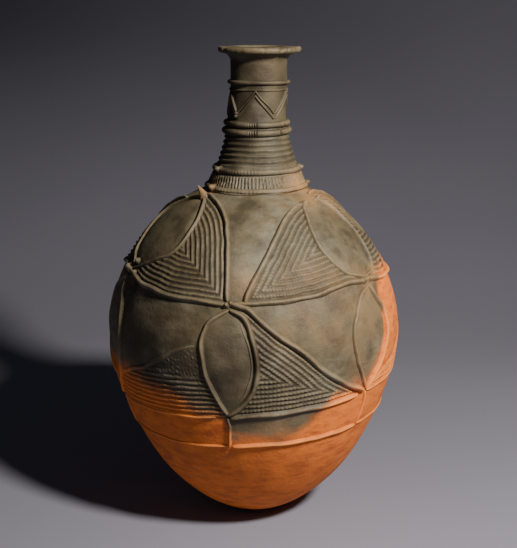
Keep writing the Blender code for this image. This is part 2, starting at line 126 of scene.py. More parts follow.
@dataclass(frozen=True)
class WallForm:
    """Outside of the pot's wall: a round base, a full belly, a shoulder, a tapering neck and a flare."""

    height: float = 0.454
    foot_radius: float = 0.024
    belly_radius: float = 0.1393
    belly_z: float = 0.193
    neck_base_radius: float = 0.047
    neck_base_z: float = 0.3225
    neck_radius: float = 0.0262
    neck_straight_z: float = 0.408
    rim_thickness: float = 0.006
    flare_radius: float = 0.0085
    lower_power: float = 1.81
    upper_height_power: float = 1.75
    taper_power: float = 1.9
    unevenness: float = 0.00045
    lean_low: float = 0.0024
    lean_high: float = 0.0018
    slope_step: float = 0.0008

    @property
    def lower_reach(self) -> float:
        """Half height of the ellipse-like curve below the belly."""
        share = 1.0 - (self.foot_radius / self.belly_radius) ** self.lower_power
        return self.belly_z / share ** (1.0 / self.lower_power)

    @property
    def upper_reach(self) -> float:
        """Half height of the ellipse-like curve above the belly."""
        share = 1.0 - (self.neck_base_radius / self.belly_radius) ** 2
        return (self.neck_base_z - self.belly_z) / share ** (1.0 / self.upper_height_power)

    @property
    def flare_z(self) -> float:
        """Height at which the neck starts to turn out to the rim."""
        return self.height - self.rim_thickness - self.flare_radius

    def radius(self, z: np.ndarray) -> np.ndarray:
        """Radius of the outside at each height.

        Args:
            z: Heights.

        Returns:
            Radii.
        """
        z = np.asarray(z, dtype=float)
        down = np.clip((self.belly_z - z) / self.lower_reach, 0.0, 1.0)
        low = self.belly_radius * (1.0 - down ** self.lower_power) ** (1.0 / self.lower_power)
        up = np.clip((z - self.belly_z) / self.upper_reach, 0.0, 1.0)
        high = self.belly_radius * np.sqrt(1.0 - up ** self.upper_height_power)
        taper = np.clip((self.neck_straight_z - z) / (self.neck_straight_z - self.neck_base_z), 0.0, 1.0)
        neck = self.neck_radius + (self.neck_base_radius - self.neck_radius) * taper ** self.taper_power
        rise = np.clip(z - self.flare_z, 0.0, self.flare_radius)
        flare = self.neck_radius + self.flare_radius - np.sqrt(self.flare_radius ** 2 - rise ** 2)
        zones = [z <= self.belly_z, z <= self.neck_base_z, z <= self.flare_z]
        return np.select(zones, [low, high, neck], flare)

    def lean(self, z: np.ndarray) -> np.ndarray:
        """How far the leaning neck has moved towards +X at each height.

        Args:
            z: Heights.

        Returns:
            Shifts.
        """
        z = np.asarray(z, dtype=float)
        return self.lean_low * ease(z, 0.300, 0.335) + self.lean_high * ease(z, 0.385, 0.425)

    def normal(self, z: np.ndarray) -> tuple[np.ndarray, np.ndarray]:
        """Radial and vertical parts of the outward normal at each height.

        Args:
            z: Heights.

        Returns:
            Radial parts and vertical parts.
        """
        z = np.asarray(z, dtype=float)
        low = np.maximum(z - self.slope_step, 0.0)
        high = z + self.slope_step
        slope = (self.radius(high) - self.radius(low)) / (high - low)
        length = np.hypot(1.0, slope)
        return 1.0 / length, -slope / length

    def place(self, azimuth: np.ndarray, z: np.ndarray, lift: np.ndarray | float = 0.0) -> np.ndarray:
        """Points on the uneven outside of the wall, or lifted off it.

        Args:
            azimuth: Degrees round the pot.
            z: Heights.
            lift: Distance out from the wall, along its normal.

        Returns:
            Points, one a row.
        """
        turn = np.radians(azimuth)
        radius = self.radius(z)
        across = np.stack([np.sin(turn), -np.cos(turn)], axis=-1)
        plain = np.column_stack([radius[:, None] * across, z])
        level = np.asarray(z, dtype=float)
        fade = ease(level, 0.012, 0.06) * (1.0 - 0.7 * ease(level, 0.32, 0.36))
        out = lift + self.unevenness * fade * HAND.at(plain)
        radial, vertical = self.normal(z)
        spots = np.column_stack([(radius + out * radial)[:, None] * across, z + out * vertical])
        spots[:, 0] += self.lean(z)
        return spots

    def even_heights(self, low: float, high: float, pitch: float) -> np.ndarray:
        """Heights that are an even distance apart along the wall.

        Args:
            low: Lowest height.
            high: Highest height.
            pitch: Wanted distance.

        Returns:
            Heights from low to high.
        """
        fine = np.linspace(low, high, 600)
        steps = np.hypot(np.diff(self.radius(fine)), np.diff(fine))
        travelled = np.concatenate([[0.0], np.cumsum(steps)])
        count = max(3, int(round(travelled[-1] / pitch)))
        return np.interp(np.linspace(0.0, travelled[-1], count + 1), travelled, fine)


HAND = Lumps(11, 0.085)
WALL = WallForm()


class Route:
    """A smooth line on the wall, through a few (azimuth, height) places."""

    def __init__(self, points: Sequence[Place], closed: bool = False, per_leg: int = 12) -> None:
        """Draws the line.

        Args:
            points: Places that the line goes through.
            closed: Whether it runs once round the pot and meets itself.
            per_leg: Fineness between two places.
        """
        points = list(points)
        if closed:
            ends = [(points[-1][0] - FULL_TURN, points[-1][1]), *points,
                    (points[0][0] + FULL_TURN, points[0][1]), (points[1][0] + FULL_TURN, points[1][1])]
        else:
            ends = [points[0], *points, points[-1]]
        knots = np.array(ends, dtype=float)
        share = np.linspace(0.0, 1.0, per_leg, endpoint=False)[:, None]
        legs = []
        for a, b, c, d in zip(knots, knots[1:], knots[2:], knots[3:]):
            legs.append(0.5 * (2 * b + (c - a) * share + (2 * a - 5 * b + 4 * c - d) * share ** 2
                               + (3 * b - a - 3 * c + d) * share ** 3))
        legs.append(knots[-2][None, :])
        self.places = np.concatenate(legs)
        self.points = WALL.place(self.places[:, 0], self.places[:, 1])
        steps = np.linalg.norm(np.diff(self.points, axis=0), axis=1)
        self.travelled = np.concatenate([[0.0], np.cumsum(steps)])

    @property
    def length(self) -> float:
        """Length of the line in metres."""
        return float(self.travelled[-1])

    def at(self, distances: np.ndarray) -> np.ndarray:
        """Places at distances along the line.

        Args:
            distances: Metres from the start.

        Returns:
            (azimuth, height), one a row.
        """
        azimuth = np.interp(distances, self.travelled, self.places[:, 0])
        return np.column_stack([azimuth, np.interp(distances, self.travelled, self.places[:, 1])])

    def nearest(self, points: np.ndarray) -> tuple[np.ndarray, np.ndarray]:
        """How far each point is from the line, and how far along the nearest spot is.

        Args:
            points: Points, one a row.

        Returns:
            Distances from the line and distances along it.
        """
        start = self.points[:-1]
        leg = np.diff(self.points, axis=0)
        square = np.maximum((leg ** 2).sum(axis=1), 1e-12)
        share = np.clip((points @ leg.T - (start * leg).sum(axis=1)) / square, 0.0, 1.0)
        gap = np.full(share.shape, 0.0)
        for axis in range(3):
            gap += (points[:, axis, None] - start[:, axis] - share * leg[:, axis]) ** 2
        best = gap.argmin(axis=1)
        rows = np.arange(len(points))
        along = self.travelled[best] + share[rows, best] * np.diff(self.travelled)[best]
        return np.sqrt(gap[rows, best]), along


def inside(outline: np.ndarray, places: np.ndarray) -> np.ndarray:
    """Tells which places lie inside a closed outline.

    Args:
        outline: Corners, one a row.
        places: Places to test, one a row.

    Returns:
        True or False for each place.
    """
    found = np.zeros(len(places), dtype=bool)
    for first, second in zip(outline, np.roll(outline, -1, axis=0)):
        if first[1] == second[1]:
            continue
        spans = (places[:, 1] < first[1]) != (places[:, 1] < second[1])
        crossing = first[0] + (places[:, 1] - first[1]) * (second[0] - first[0]) / (second[1] - first[1])
        found ^= spans & (places[:, 0] < crossing)
    return found


class Bench:
    """The modelling steps that every piece shares."""

    HOOP_SECTION = 0.25

    @staticmethod
    def clear() -> None:
        """Leaves edit mode and selects nothing."""
        if bpy.context.object is not None and bpy.context.object.mode != "OBJECT":
            bpy.ops.object.mode_set(mode="OBJECT")
        bpy.ops.object.select_all(action="DESELECT")

    @staticmethod
    def read(piece: bpy.types.Object) -> np.ndarray:
        """The piece's vertex positions, one a row."""
        values = np.empty(len(piece.data.vertices) * 3)
        piece.data.vertices.foreach_get("co", values)
        return values.reshape(-1, 3)

    @staticmethod
    def write(piece: bpy.types.Object, points: np.ndarray) -> None:
        """Moves the piece's vertices to points."""
        piece.data.vertices.foreach_set("co", np.ascontiguousarray(points).ravel())
        piece.data.update()

    @staticmethod
    def rod(name: str, sides: int, rings: int) -> bpy.types.Object:
        """A straight rod one unit long, cut into even rings.

        Args:
            name: Name of the piece.
            sides: Sides of its section.
            rings: Rings of vertices from end to end.

        Returns:
            The rod, standing along Z.
        """
        Bench.clear()
        bpy.ops.mesh.primitive_cylinder_add(vertices=sides, radius=1.0, depth=1.0, end_fill_type="NGON")
        piece = bpy.context.object
        piece.name = name
        places = Bench.read(piece)
        bpy.ops.object.mode_set(mode="EDIT")
        bpy.ops.mesh.select_mode(type="EDGE")
        bpy.ops.mesh.select_all(action="DESELECT")
        bpy.ops.object.mode_set(mode="OBJECT")
        for edge in piece.data.edges:
            edge.select = abs(places[edge.vertices[0], 2] - places[edge.vertices[1], 2]) > 0.5
        bpy.ops.object.mode_set(mode="EDIT")
        bpy.ops.mesh.subdivide(number_cuts=rings - 2)
        bpy.ops.object.mode_set(mode="OBJECT")
        return piece

    @staticmethod
    def hoop(name: str, sides: int, rings: int) -> bpy.types.Object:
        """A ring with a round section, one unit in radius."""
        Bench.clear()
        bpy.ops.mesh.primitive_torus_add(major_segments=rings, minor_segments=sides, major_radius=1.0,
                                         minor_radius=Bench.HOOP_SECTION)
        piece = bpy.context.object
        piece.name = name
        return piece

    @staticmethod
    def round_hoop(piece: bpy.types.Object) -> tuple[np.ndarray, np.ndarray, np.ndarray]:
        """Azimuth of each of a hoop's vertices, and how far out and up it is in the section, -1 to 1."""
        unit = Bench.read(piece)
        azimuth = np.degrees(np.arctan2(unit[:, 1], unit[:, 0])) - 180.0
        outward = (np.hypot(unit[:, 0], unit[:, 1]) - 1.0) / Bench.HOOP_SECTION
        return azimuth, outward, unit[:, 2] / Bench.HOOP_SECTION

    @staticmethod
    def turned(name: str, outline: Sequence[Place], steps: int, closed: bool) -> bpy.types.Object:
        """Spins an outline of (radius, height) points round Z.

        Args:
            name: Name of the piece.
            outline: Points of the section, in order.
            steps: Steps of the spin.
            closed: Whether the last point joins the first. An open outline ends on the axis.

        Returns:
            The turned piece.
        """
        Bench.clear()
        bpy.ops.mesh.primitive_circle_add(vertices=len(outline), radius=1.0)
        piece = bpy.context.object
        piece.name = name
        Bench.write(piece, np.array([(radius, 0.0, z) for radius, z in outline]))
        if not closed:
            bpy.ops.object.mode_set(mode="EDIT")
            bpy.ops.mesh.select_mode(type="EDGE")
            bpy.ops.mesh.select_all(action="DESELECT")
            bpy.ops.object.mode_set(mode="OBJECT")
            last = len(outline) - 1
            for edge in piece.data.edges:
                edge.select = set(edge.vertices) == {0, last}
            bpy.ops.object.mode_set(mode="EDIT")
            bpy.ops.mesh.delete(type="EDGE")
        else:
            bpy.ops.object.mode_set(mode="EDIT")
        bpy.ops.mesh.select_mode(type="VERT")
        bpy.ops.mesh.select_all(action="SELECT")
        bpy.ops.mesh.spin(steps=steps, angle=2.0 * math.pi, center=(0.0, 0.0, 0.0), axis=(0.0, 0.0, 1.0))
        bpy.ops.mesh.select_all(action="SELECT")
        bpy.ops.mesh.remove_doubles(threshold=0.00001)
        bpy.ops.mesh.normals_make_consistent(inside=False)
        bpy.ops.object.mode_set(mode="OBJECT")
        return piece

    @staticmethod
    def ball(name: str) -> bpy.types.Object:
        """A round lump of unit radius."""
        Bench.clear()
        bpy.ops.mesh.primitive_uv_sphere_add(segments=28, ring_count=18, radius=1.0)
        piece = bpy.context.object
        piece.name = name
        return piece

    @staticmethod
    def joined(pieces: Sequence[bpy.types.Object], name: str) -> bpy.types.Object:
        """Joins pieces into one object.

        Args:
            pieces: What is joined.
            name: Name of the whole.

        Returns:
            The joined object.
        """
        Bench.clear()
        for piece in pieces:
            piece.select_set(True)
        bpy.context.view_layer.objects.active = pieces[0]
        if len(pieces) > 1:
            bpy.ops.object.join()
        whole = bpy.context.object
        whole.name = name
        return whole

    @staticmethod
    def outwards(piece: bpy.types.Object) -> None:
        """Makes every face of a closed piece face out."""
        Bench.clear()
        piece.select_set(True)
        bpy.context.view_layer.objects.active = piece
        bpy.ops.object.mode_set(mode="EDIT")
        bpy.ops.mesh.select_all(action="SELECT")
        bpy.ops.mesh.normals_make_consistent(inside=False)
        bpy.ops.object.mode_set(mode="OBJECT")

    @staticmethod
    def smooth(piece: bpy.types.Object, angle: float = 50.0) -> None:
        """Shades the piece smooth, with edges sharper than angle kept."""
        Bench.clear()
        piece.select_set(True)
        bpy.context.view_layer.objects.active = piece
        bpy.ops.object.shade_smooth_by_angle(angle=math.radians(angle))

    @staticmethod
    def mark(piece: bpy.types.Object, name: str, values: np.ndarray) -> None:
        """Writes one number a vertex to a named attribute."""
        layer = piece.data.attributes.get(name) or piece.data.attributes.new(name, "FLOAT", "POINT")
        layer.data.foreach_set("value", np.ascontiguousarray(values, dtype=np.float32))


@dataclass(frozen=True)
class Firing:
    """Where the fire left the clay black, tan or orange, and where shade is painted on.

    A patch is its azimuth, height, half width in degrees, half height and strength.
    """

    smoke_line: tuple[Place, ...] = (
        (-180.0, 0.152), (-150.0, 0.140), (-120.0, 0.150), (-92.0, 0.152), (-74.0, 0.158), (-59.0, 0.1600),
        (-50.0, 0.1590), (-44.0, 0.155), (-34.0, 0.1470), (-25.0, 0.1420), (-15.0, 0.1390), (-11.5, 0.1350),
        (-9.0, 0.1080), (5.0, 0.1060), (17.0, 0.1090), (24.0, 0.1250), (31.0, 0.1430), (39.0, 0.1510),
        (49.0, 0.1530), (55.0, 0.1680), (57.5, 0.1950), (60.0, 0.2200), (66.0, 0.2340), (76.0, 0.2420),
        (92.0, 0.2440), (112.0, 0.230), (130.0, 0.190), (152.0, 0.158), (180.0, 0.152))

    tan_patches: tuple[tuple[float, ...], ...] = (
        (22.0, 0.4330, 24.0, 0.010, 0.35), (62.0, 0.3270, 24.0, 0.014, 1.0),
        (88.0, 0.3100, 22.0, 0.014, 0.40), (62.0, 0.2520, 9.0, 0.007, 0.7),
        (-4.0, 0.2570, 4.0, 0.012, 0.5), (30.0, 0.2600, 20.0, 0.012, 0.22),
        (50.0, 0.2300, 14.0, 0.022, 0.30), (20.0, 0.2200, 16.0, 0.018, 0.20),
        (-28.0, 0.2200, 14.0, 0.012, 0.15), (52.0, 0.1800, 12.0, 0.022, 0.35),
        (8.0, 0.1220, 14.0, 0.014, 0.45), (-58.0, 0.3230, 7.0, 0.007, 0.9),
        (-150.0, 0.2700, 30.0, 0.025, 0.5), (150.0, 0.3400, 30.0, 0.020, 0.6))
    # Smoke stains mixed with painted shade: the left side, the neck under the rim and the lower belly are
    # painted darker.
    soot_and_shade_patches: tuple[tuple[float, ...], ...] = (
        (-5.0, 0.1900, 12.0, 0.040, 0.95), (-38.0, 0.1950, 22.0, 0.040, 0.8),
        (-45.0, 0.2650, 24.0, 0.045, 0.35), (0.0, 0.3720, 80.0, 0.040, 0.62),
        (10.0, 0.4280, 80.0, 0.026, 0.85), (-60.0, 0.3900, 45.0, 0.060, 0.7),
        (6.0, 0.0850, 22.0, 0.022, 0.70), (-45.0, 0.1000, 20.0, 0.040, 0.35),
        (-160.0, 0.2000, 50.0, 0.060, 0.4))

    def smoke(self, points: np.ndarray) -> np.ndarray:
        """How smoked each point is, from 0 for bare orange to 1 for black."""
        azimuth = bearings(points)
        knots = np.array(self.smoke_line)
        line = np.interp(azimuth, knots[:, 0], knots[:, 1])
        wander = 0.006 * BLOTCHES.at(points) + 0.0025 * FLECKS.at(points)
        return ease(points[:, 2] - line + wander, -0.012, 0.030)

    def warmth(self, points: np.ndarray) -> np.ndarray:
        """How far the smoke burnt off again and left tan patches."""
        return self.patchy(points, self.tan_patches)

    def soot_and_shade(self, points: np.ndarray) -> np.ndarray:
        """Darker, browner patches: partly smoke stains, partly painted shade on the shaded left side, on the
        neck under the rim and low on the belly.
        """
        return self.patchy(points, self.soot_and_shade_patches)

    @staticmethod
    def patchy(points: np.ndarray, patches: Sequence[tuple[float, ...]]) -> np.ndarray:
        """Soft patches with wandering edges.

        Args:
            points: Points, one a row.
            patches: Azimuth, height, half width in degrees, half height and strength of each.

        Returns:
            Strength at each point, 0 to 1.
        """
        azimuth = bearings(points)
        total = np.zeros(len(points))
        for middle, height, wide, tall, strength in patches:
            across = (azimuth - middle + 0.5 * FULL_TURN) % FULL_TURN - 0.5 * FULL_TURN
            total += strength * np.exp(-(across / wide) ** 2 - ((points[:, 2] - height) / tall) ** 2)
        return np.clip(total * (0.85 + 0.5 * BLOTCHES.at(points * 2.5)), 0.0, 1.0)

    def paint(self, piece: bpy.types.Object) -> None:
        """Writes the firing marks and the painted shade to the piece's vertices."""
        points = Bench.read(piece)
        Bench.mark(piece, "smoke", self.smoke(points))
        Bench.mark(piece, "warmth", self.warmth(points))
        Bench.mark(piece, "soot_and_shade", self.soot_and_shade(points))
        if "crest" not in piece.data.attributes:
            Bench.mark(piece, "crest", np.full(len(points), 0.45))


BLOTCHES = Lumps(5, 0.060)
FLECKS = Lumps(9, 0.014)


class Wire:
    """A shader socket that can be used in arithmetic."""

    def __init__(self, clay: ClayTree, socket: bpy.types.NodeSocket) -> None:
        """Wraps a socket of a tree."""
        self.clay = clay
        self.socket = socket

    def math(self, operation: str, *others: Wire | float) -> Wire:
        """Runs a Math node on this socket and others."""
        inputs = dict(enumerate((self, *others)))
        return self.clay.add("ShaderNodeMath", {"operation": operation}, inputs).out(0)

    def __add__(self, other: Wire | float) -> Wire:
        """Sum."""
        return self.math("ADD", other)

    __radd__ = __add__

    def __sub__(self, other: Wire | float) -> Wire:
        """Difference."""
        return self.math("SUBTRACT", other)

    def __rsub__(self, other: float) -> Wire:
        """Difference from a number."""
        return self.clay.add("ShaderNodeMath", {"operation": "SUBTRACT"}, {0: other, 1: self}).out(0)

    def __mul__(self, other: Wire | float) -> Wire:
        """Product."""
        return self.math("MULTIPLY", other)

    __rmul__ = __mul__

    def clamp(self) -> Wire:
        """Keeps the value between 0 and 1."""
        return self.clay.add("ShaderNodeClamp", {}, {0: self}).out(0)

    def eased(self, low: float, high: float) -> Wire:
        """Goes smoothly from 0 at low to 1 at high."""
        settings = {"interpolation_type": "SMOOTHSTEP"}
        return self.clay.add("ShaderNodeMapRange", settings, {0: self, 1: low, 2: high}).out(0)


class Added:
    """A node just added, whose outputs are read as wires."""

    def __init__(self, clay: ClayTree, node: bpy.types.Node) -> None:
        """Keeps the node and its tree."""
        self.clay = clay
        self.node = node

    def out(self, key: int | str) -> Wire:
        """The output with that number or name."""
        return Wire(self.clay, self.node.outputs[key])


class ClayTree:
    """Node tree of one clay finish."""

    def __init__(self, name: str) -> None:
        """Starts a material with one shader.

        Args:
            name: Name of the material.
        """
        self.material = bpy.data.materials.new(name)
        self.material.use_nodes = True
        self.tree = self.material.node_tree
        self.shader = self.tree.nodes["Principled BSDF"]

    def add(self, kind: str, settings: dict, inputs: dict) -> Added:
        """Adds any node.

        Args:
            kind: Type of the node.
            settings: Its properties.
            inputs: Values or wires of its sockets, by number or name.

        Returns:
            The added node.
        """
        node = self.tree.nodes.new(kind)
        for key, value in settings.items():
            setattr(node, key, value)
        for key, value in inputs.items():
            self.feed(node.inputs[key], value)
        return Added(self, node)

    def feed(self, socket: bpy.types.NodeSocket, value: Wire | float | Sequence[float]) -> None:
        """Links a wire to a socket, or sets its value."""
        if isinstance(value, Wire):
            self.tree.links.new(value.socket, socket)
        elif isinstance(value, tuple) and len(value) == 3 and socket.type == "RGBA":
            socket.default_value = (*value, 1.0)
        else:
            socket.default_value = value

    def attribute(self, name: str) -> Wire:
        """A number written on the vertices."""
        return self.add("ShaderNodeAttribute", {"attribute_name": name}, {}).out("Fac")

    def places(self, stretch: tuple[float, float, float] = (1.0, 1.0, 1.0)) -> Wire:
        """Object coordinates, stretched."""
        source = self.add("ShaderNodeTexCoord", {}, {}).out("Object")
        return self.add("ShaderNodeMapping", {}, {"Vector": source, "Scale": stretch}).out(0)

    def noise(self, scale: float, detail: float = 3.0, rough: float = 0.55,
              stretch: tuple[float, float, float] = (1.0, 1.0, 1.0)) -> Wire:
        """Cloudy noise.

        Args:
            scale: Clouds a metre.
            detail: How many finer layers are added.
            rough: How strong the finer layers are.
            stretch: Stretch of the pattern along each axis.

        Returns:
            A value about 0.5.
        """
        inputs = {"Vector": self.places(stretch), "Scale": scale, "Detail": detail, "Roughness": rough}
        return self.add("ShaderNodeTexNoise", {}, inputs).out(0)

    def mix(self, share: Wire | float, first: Wire | tuple, second: Wire | tuple) -> Wire:
        """Mixes two colours.

        Args:
            share: How much of the second shows.
            first: Colour at 0.
            second: Colour at 1.

        Returns:
            The mixed colour.
        """
        settings = {"data_type": "RGBA", "blend_type": "MIX", "clamp_factor": True}
        node = self.add("ShaderNodeMix", settings, {0: share})
        self.feed(node.node.inputs[6], first)
        self.feed(node.node.inputs[7], second)
        return node.out(2)


@dataclass(frozen=True)
class ClayFinish:
    """Low-fired clay, bare orange where the fire was clean and black where smoke settled, with painted
    highlights on ridge tops and painted shade in grooves.
    """

    name: str
    grain: float = 1.0
    # Strength of the painted highlight on ridge tops.
    crest_highlight: float = 1.0
    orange: tuple[float, float, float] = (0.78, 0.190, 0.022)
    orange_deep: tuple[float, float, float] = (0.44, 0.096, 0.016)
    # Paler orange of random clouds and of the painted highlight on ridge tops.
    orange_pale_and_highlight: tuple[float, float, float] = (0.92, 0.36, 0.085)
    # Dull orange of smoke stains and of painted shade low on the belly.
    orange_dull_and_shaded: tuple[float, float, float] = (0.24, 0.060, 0.014)
    black: tuple[float, float, float] = (0.104, 0.084, 0.047)
    # Deep black of random clouds, also used for the painted shade in grooves.
    black_deep_and_shade: tuple[float, float, float] = (0.036, 0.028, 0.016)
    bloom: tuple[float, float, float] = (0.185, 0.166, 0.118)
    brown: tuple[float, float, float] = (0.150, 0.090, 0.040)
    # Darkest brown of smoke stains and of painted shade.
    soot_and_shade_colour: tuple[float, float, float] = (0.020, 0.013, 0.005)
    tan: tuple[float, float, float] = (0.38, 0.205, 0.085)
    # crest is the colour of the painted highlight on ridge tops.
    crest: tuple[float, float, float] = (0.270, 0.200, 0.115)

    def make(self) -> bpy.types.Material:
        """Builds the material.

        Returns:
            The material.
        """
        clay = ClayTree(self.name)
        smoke = clay.attribute("smoke")
        warmth = clay.attribute("warmth")
        # crest runs from 0 at a ridge's foot to 1 at its top; the finish uses it for painted highlights on
        # tops and painted shade in grooves.
        crest = clay.attribute("crest")
        soot_and_shade = clay.attribute("soot_and_shade")
        broad = clay.noise(16.0, 4.0, 0.6)
        cloud = clay.noise(42.0, 5.0, 0.62)
        fine = clay.noise(230.0, 4.0, 0.6)
        speck = clay.noise(900.0, 2.0, 0.5)
        wiped = clay.noise(60.0, 4.0, 0.6, (1.0, 1.0, 2.6))

        orange = clay.mix(wiped.eased(0.30, 0.62), self.orange_deep, self.orange)
        orange = clay.mix(broad.eased(0.35, 0.70) * 0.55, orange, self.orange)
        # Painted highlight on ridge tops, with random paler clouds: the orange turns paler.
        pale_and_highlight = (crest.eased(0.5, 1.0) * 0.55 + cloud.eased(0.55, 0.80) * 0.28).clamp()
        orange = clay.mix(pale_and_highlight, orange, self.orange_pale_and_highlight)
        # Smoke stains and painted shade dull the orange, darker low on the belly.
        orange = clay.mix((soot_and_shade * 0.55).clamp(), orange, self.orange_dull_and_shaded)
        orange = clay.mix((speck.eased(0.60, 0.72) * 0.35).clamp(), orange, self.orange_deep)

        black = clay.mix((0.18 + 0.82 * cloud.eased(0.34, 0.60)).clamp(), self.black_deep_and_shade, self.black)
        cloudy = (broad.eased(0.40, 0.68) * 0.85 * wiped.eased(0.30, 0.62)).clamp()
        black = clay.mix(cloudy, black, self.bloom)
        black = clay.mix((clay.noise(24.0, 4.0, 0.65).eased(0.50, 0.74) * 0.45).clamp(), black, self.brown)
        # Painted highlight: ridge tops are lightened towards the crest colour, unevenly.
        tops = (crest.eased(0.55, 1.0) * (0.35 + 0.65 * fine.eased(0.35, 0.60)) * self.crest_highlight * 0.42).clamp()
        black = clay.mix(tops, black, self.crest)
        # Painted shade: grooves and the feet of coils and ridges (low crest) are darkened.
        black = clay.mix(((1.0 - crest.eased(0.0, 0.42)) * 0.72).clamp(), black, self.black_deep_and_shade)
        black = clay.mix((warmth * (0.55 + 0.6 * cloud)).clamp(), black, self.tan)
        # Smoke stains and painted shade: darker patches, among them the shaded left side and the neck under
        # the rim.
        black = clay.mix((soot_and_shade * 0.88).clamp(), black, self.soot_and_shade_colour)

        edge = (smoke + (cloud - 0.5) * 0.40 + (fine - 0.5) * 0.22 + (0.5 - crest) * 0.22).eased(0.16, 0.86)
        colour = clay.mix(edge, orange, black)
        clay.feed(clay.shader.inputs["Base Color"], colour)
        rough = 0.80 - edge * 0.17 + (fine - 0.5) * 0.22 + (cloud - 0.5) * 0.16
        clay.feed(clay.shader.inputs["Roughness"], rough.clamp())
        relief = fine * 0.60 + speck * 0.30 + wiped * 0.30 + cloud * 0.5
        depth = 0.0011 * self.grain
        bump = clay.add("ShaderNodeBump", {}, {"Strength": 0.70, "Distance": depth, "Height": relief})
        clay.feed(clay.shader.inputs["Normal"], bump.out(0))
        clay.feed(clay.shader.inputs["Specular IOR Level"], 0.42)
        return clay.material


@dataclass
class Maker:
    """Finishes each piece: paint, material, body and the CAD nodes it stands for."""

    firing: Firing = field(default_factory=Firing)
    made: int = 0

    def finish(self, piece: bpy.types.Object, material: bpy.types.Material, slot: Slot,
               nodes: Sequence[str] = (), angle: float = 50.0) -> None:
        """Dresses a piece and ties it to the frame.

        Args:
            piece: The modelled piece.
            material: Its finish.
            slot: The record's slot it belongs to. Not used.
            nodes: CAD nodes that it replaces.
            angle: Edges sharper than this stay sharp.
        """
        Bench.smooth(piece, angle)
        self.firing.paint(piece)
        piece.data.materials.clear()
        piece.data.materials.append(material)
        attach(piece, "root")
        if nodes:
            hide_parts(*nodes)
        self.made += 1
        stands_for = ", ".join(nodes) or "nothing"
        LOG.info("%s: %d faces, stands for %s", piece.name, len(piece.data.polygons), stands_for)


@dataclass(frozen=True)
class Coil:
    """A roll of clay pressed onto the wall, with its feet smoothed into it."""

    route: Route
    width: float = 0.0058
    height: float = 0.0040
    start_taper: float = 0.006
    end_taper: float = 0.006
    start_size: float = 0.35
    end_size: float = 0.35
    seed: int = 1
    spacing: float = 0.0013
    roundness: float = 1.25

    SIDES = 20
    TOP = 16
    AHEAD = 0.0015

    def section(self) -> tuple[np.ndarray, np.ndarray, np.ndarray]:
        """Across, lift and crest of the section, for each side in order."""
        top = np.linspace(-1.0, 1.0, self.TOP)
        across = 0.66 * np.sign(top) * np.abs(top) ** 0.92
        lift = (1.0 - top ** 2) ** self.roundness
        under = np.linspace(0.45, -0.45, self.SIDES - self.TOP)
        sink = np.full(len(under), -0.30)
        crest = np.concatenate([lift, np.zeros(len(under))])
        lift = np.concatenate([lift * 1.10 - 0.10, sink])
        return np.concatenate([across, under]), lift, crest

    def shape(self, name: str) -> bpy.types.Object:
        """Models the coil.

        Args:
            name: Name of the piece.

        Returns:
            The coil, closed at both ends.
        """
        rings = max(8, int(round(self.route.length / self.spacing)))
        piece = Bench.rod(name, self.SIDES, rings)
        unit = Bench.read(piece)
        ring = np.rint((unit[:, 2] + 0.5) * (rings - 1)).astype(int)
        turn = np.arctan2(unit[:, 0], unit[:, 1]) / (2.0 * math.pi)
        side = np.rint(turn * self.SIDES).astype(int) % self.SIDES
        distance = np.linspace(0.0, self.route.length, rings)
        points = self.wrap(distance, ring, side)
        Bench.write(piece, points)
        _, _, crest = self.section()
        Bench.mark(piece, "crest", crest[side])
        Bench.outwards(piece)
        return piece

    def sizes(self, distance: np.ndarray) -> np.ndarray:
        """Share of the full section at each distance: less at the tapered ends."""
        start = np.clip(distance / max(self.start_taper, 1e-6), 0.0, 1.0)
        end = np.clip((self.route.length - distance) / max(self.end_taper, 1e-6), 0.0, 1.0)
        opening = self.start_size + (1.0 - self.start_size) * np.sqrt(1.0 - (1.0 - start) ** 2)
        closing = self.end_size + (1.0 - self.end_size) * np.sqrt(1.0 - (1.0 - end) ** 2)
        return np.minimum(opening, closing)

    def wrap(self, distance: np.ndarray, ring: np.ndarray, side: np.ndarray) -> np.ndarray:
        """Lays the section along the route.

        Args:
            distance: Distance along the route of each ring.
            ring: Ring of each vertex.
            side: Side of each vertex.

        Returns:
            Vertex positions.
        """
        across, lift, _ = self.section()
        places = self.route.at(distance)
        ahead = self.route.at(np.minimum(distance + self.AHEAD, self.route.length))
        behind = self.route.at(np.maximum(distance - self.AHEAD, 0.0))
        along = WALL.place(*ahead.T) - WALL.place(*behind.T)
        along /= np.linalg.norm(along, axis=1)[:, None]
        radial, vertical = WALL.normal(places[:, 1])
        turn = np.radians(places[:, 0])
        normal = np.column_stack([radial * np.sin(turn), -radial * np.cos(turn), vertical])
        aside = np.cross(normal, along)
        base = WALL.place(*places.T)
        wobble = Lumps(self.seed, 0.021)
        pinch = Lumps(self.seed + 50, 0.013)
        lean = Lumps(self.seed + 90, 0.030)
        size = self.sizes(distance)
        wide = self.width * size * (1.0 + 0.07 * pinch.at(base))
        tall = self.height * size * (1.0 + 0.10 * wobble.at(base))
        shift = 0.0005 * lean.at(base)
        skew = 0.12 * self.width * lean.at(base * 1.3)
        offset = shift[ring] + across[side] * wide[ring] + skew[ring] * np.clip(lift[side], 0.0, 1.0)
        level = np.abs(aside[ring, 2] - 1.0).clip(0.0, 1.0)
        curve = offset ** 2 / (2.0 * WALL.radius(places[:, 1]))[ring] * level
        up = lift[side] * tall[ring] - curve
        return base[ring] + aside[ring] * offset[:, None] + normal[ring] * up[:, None]


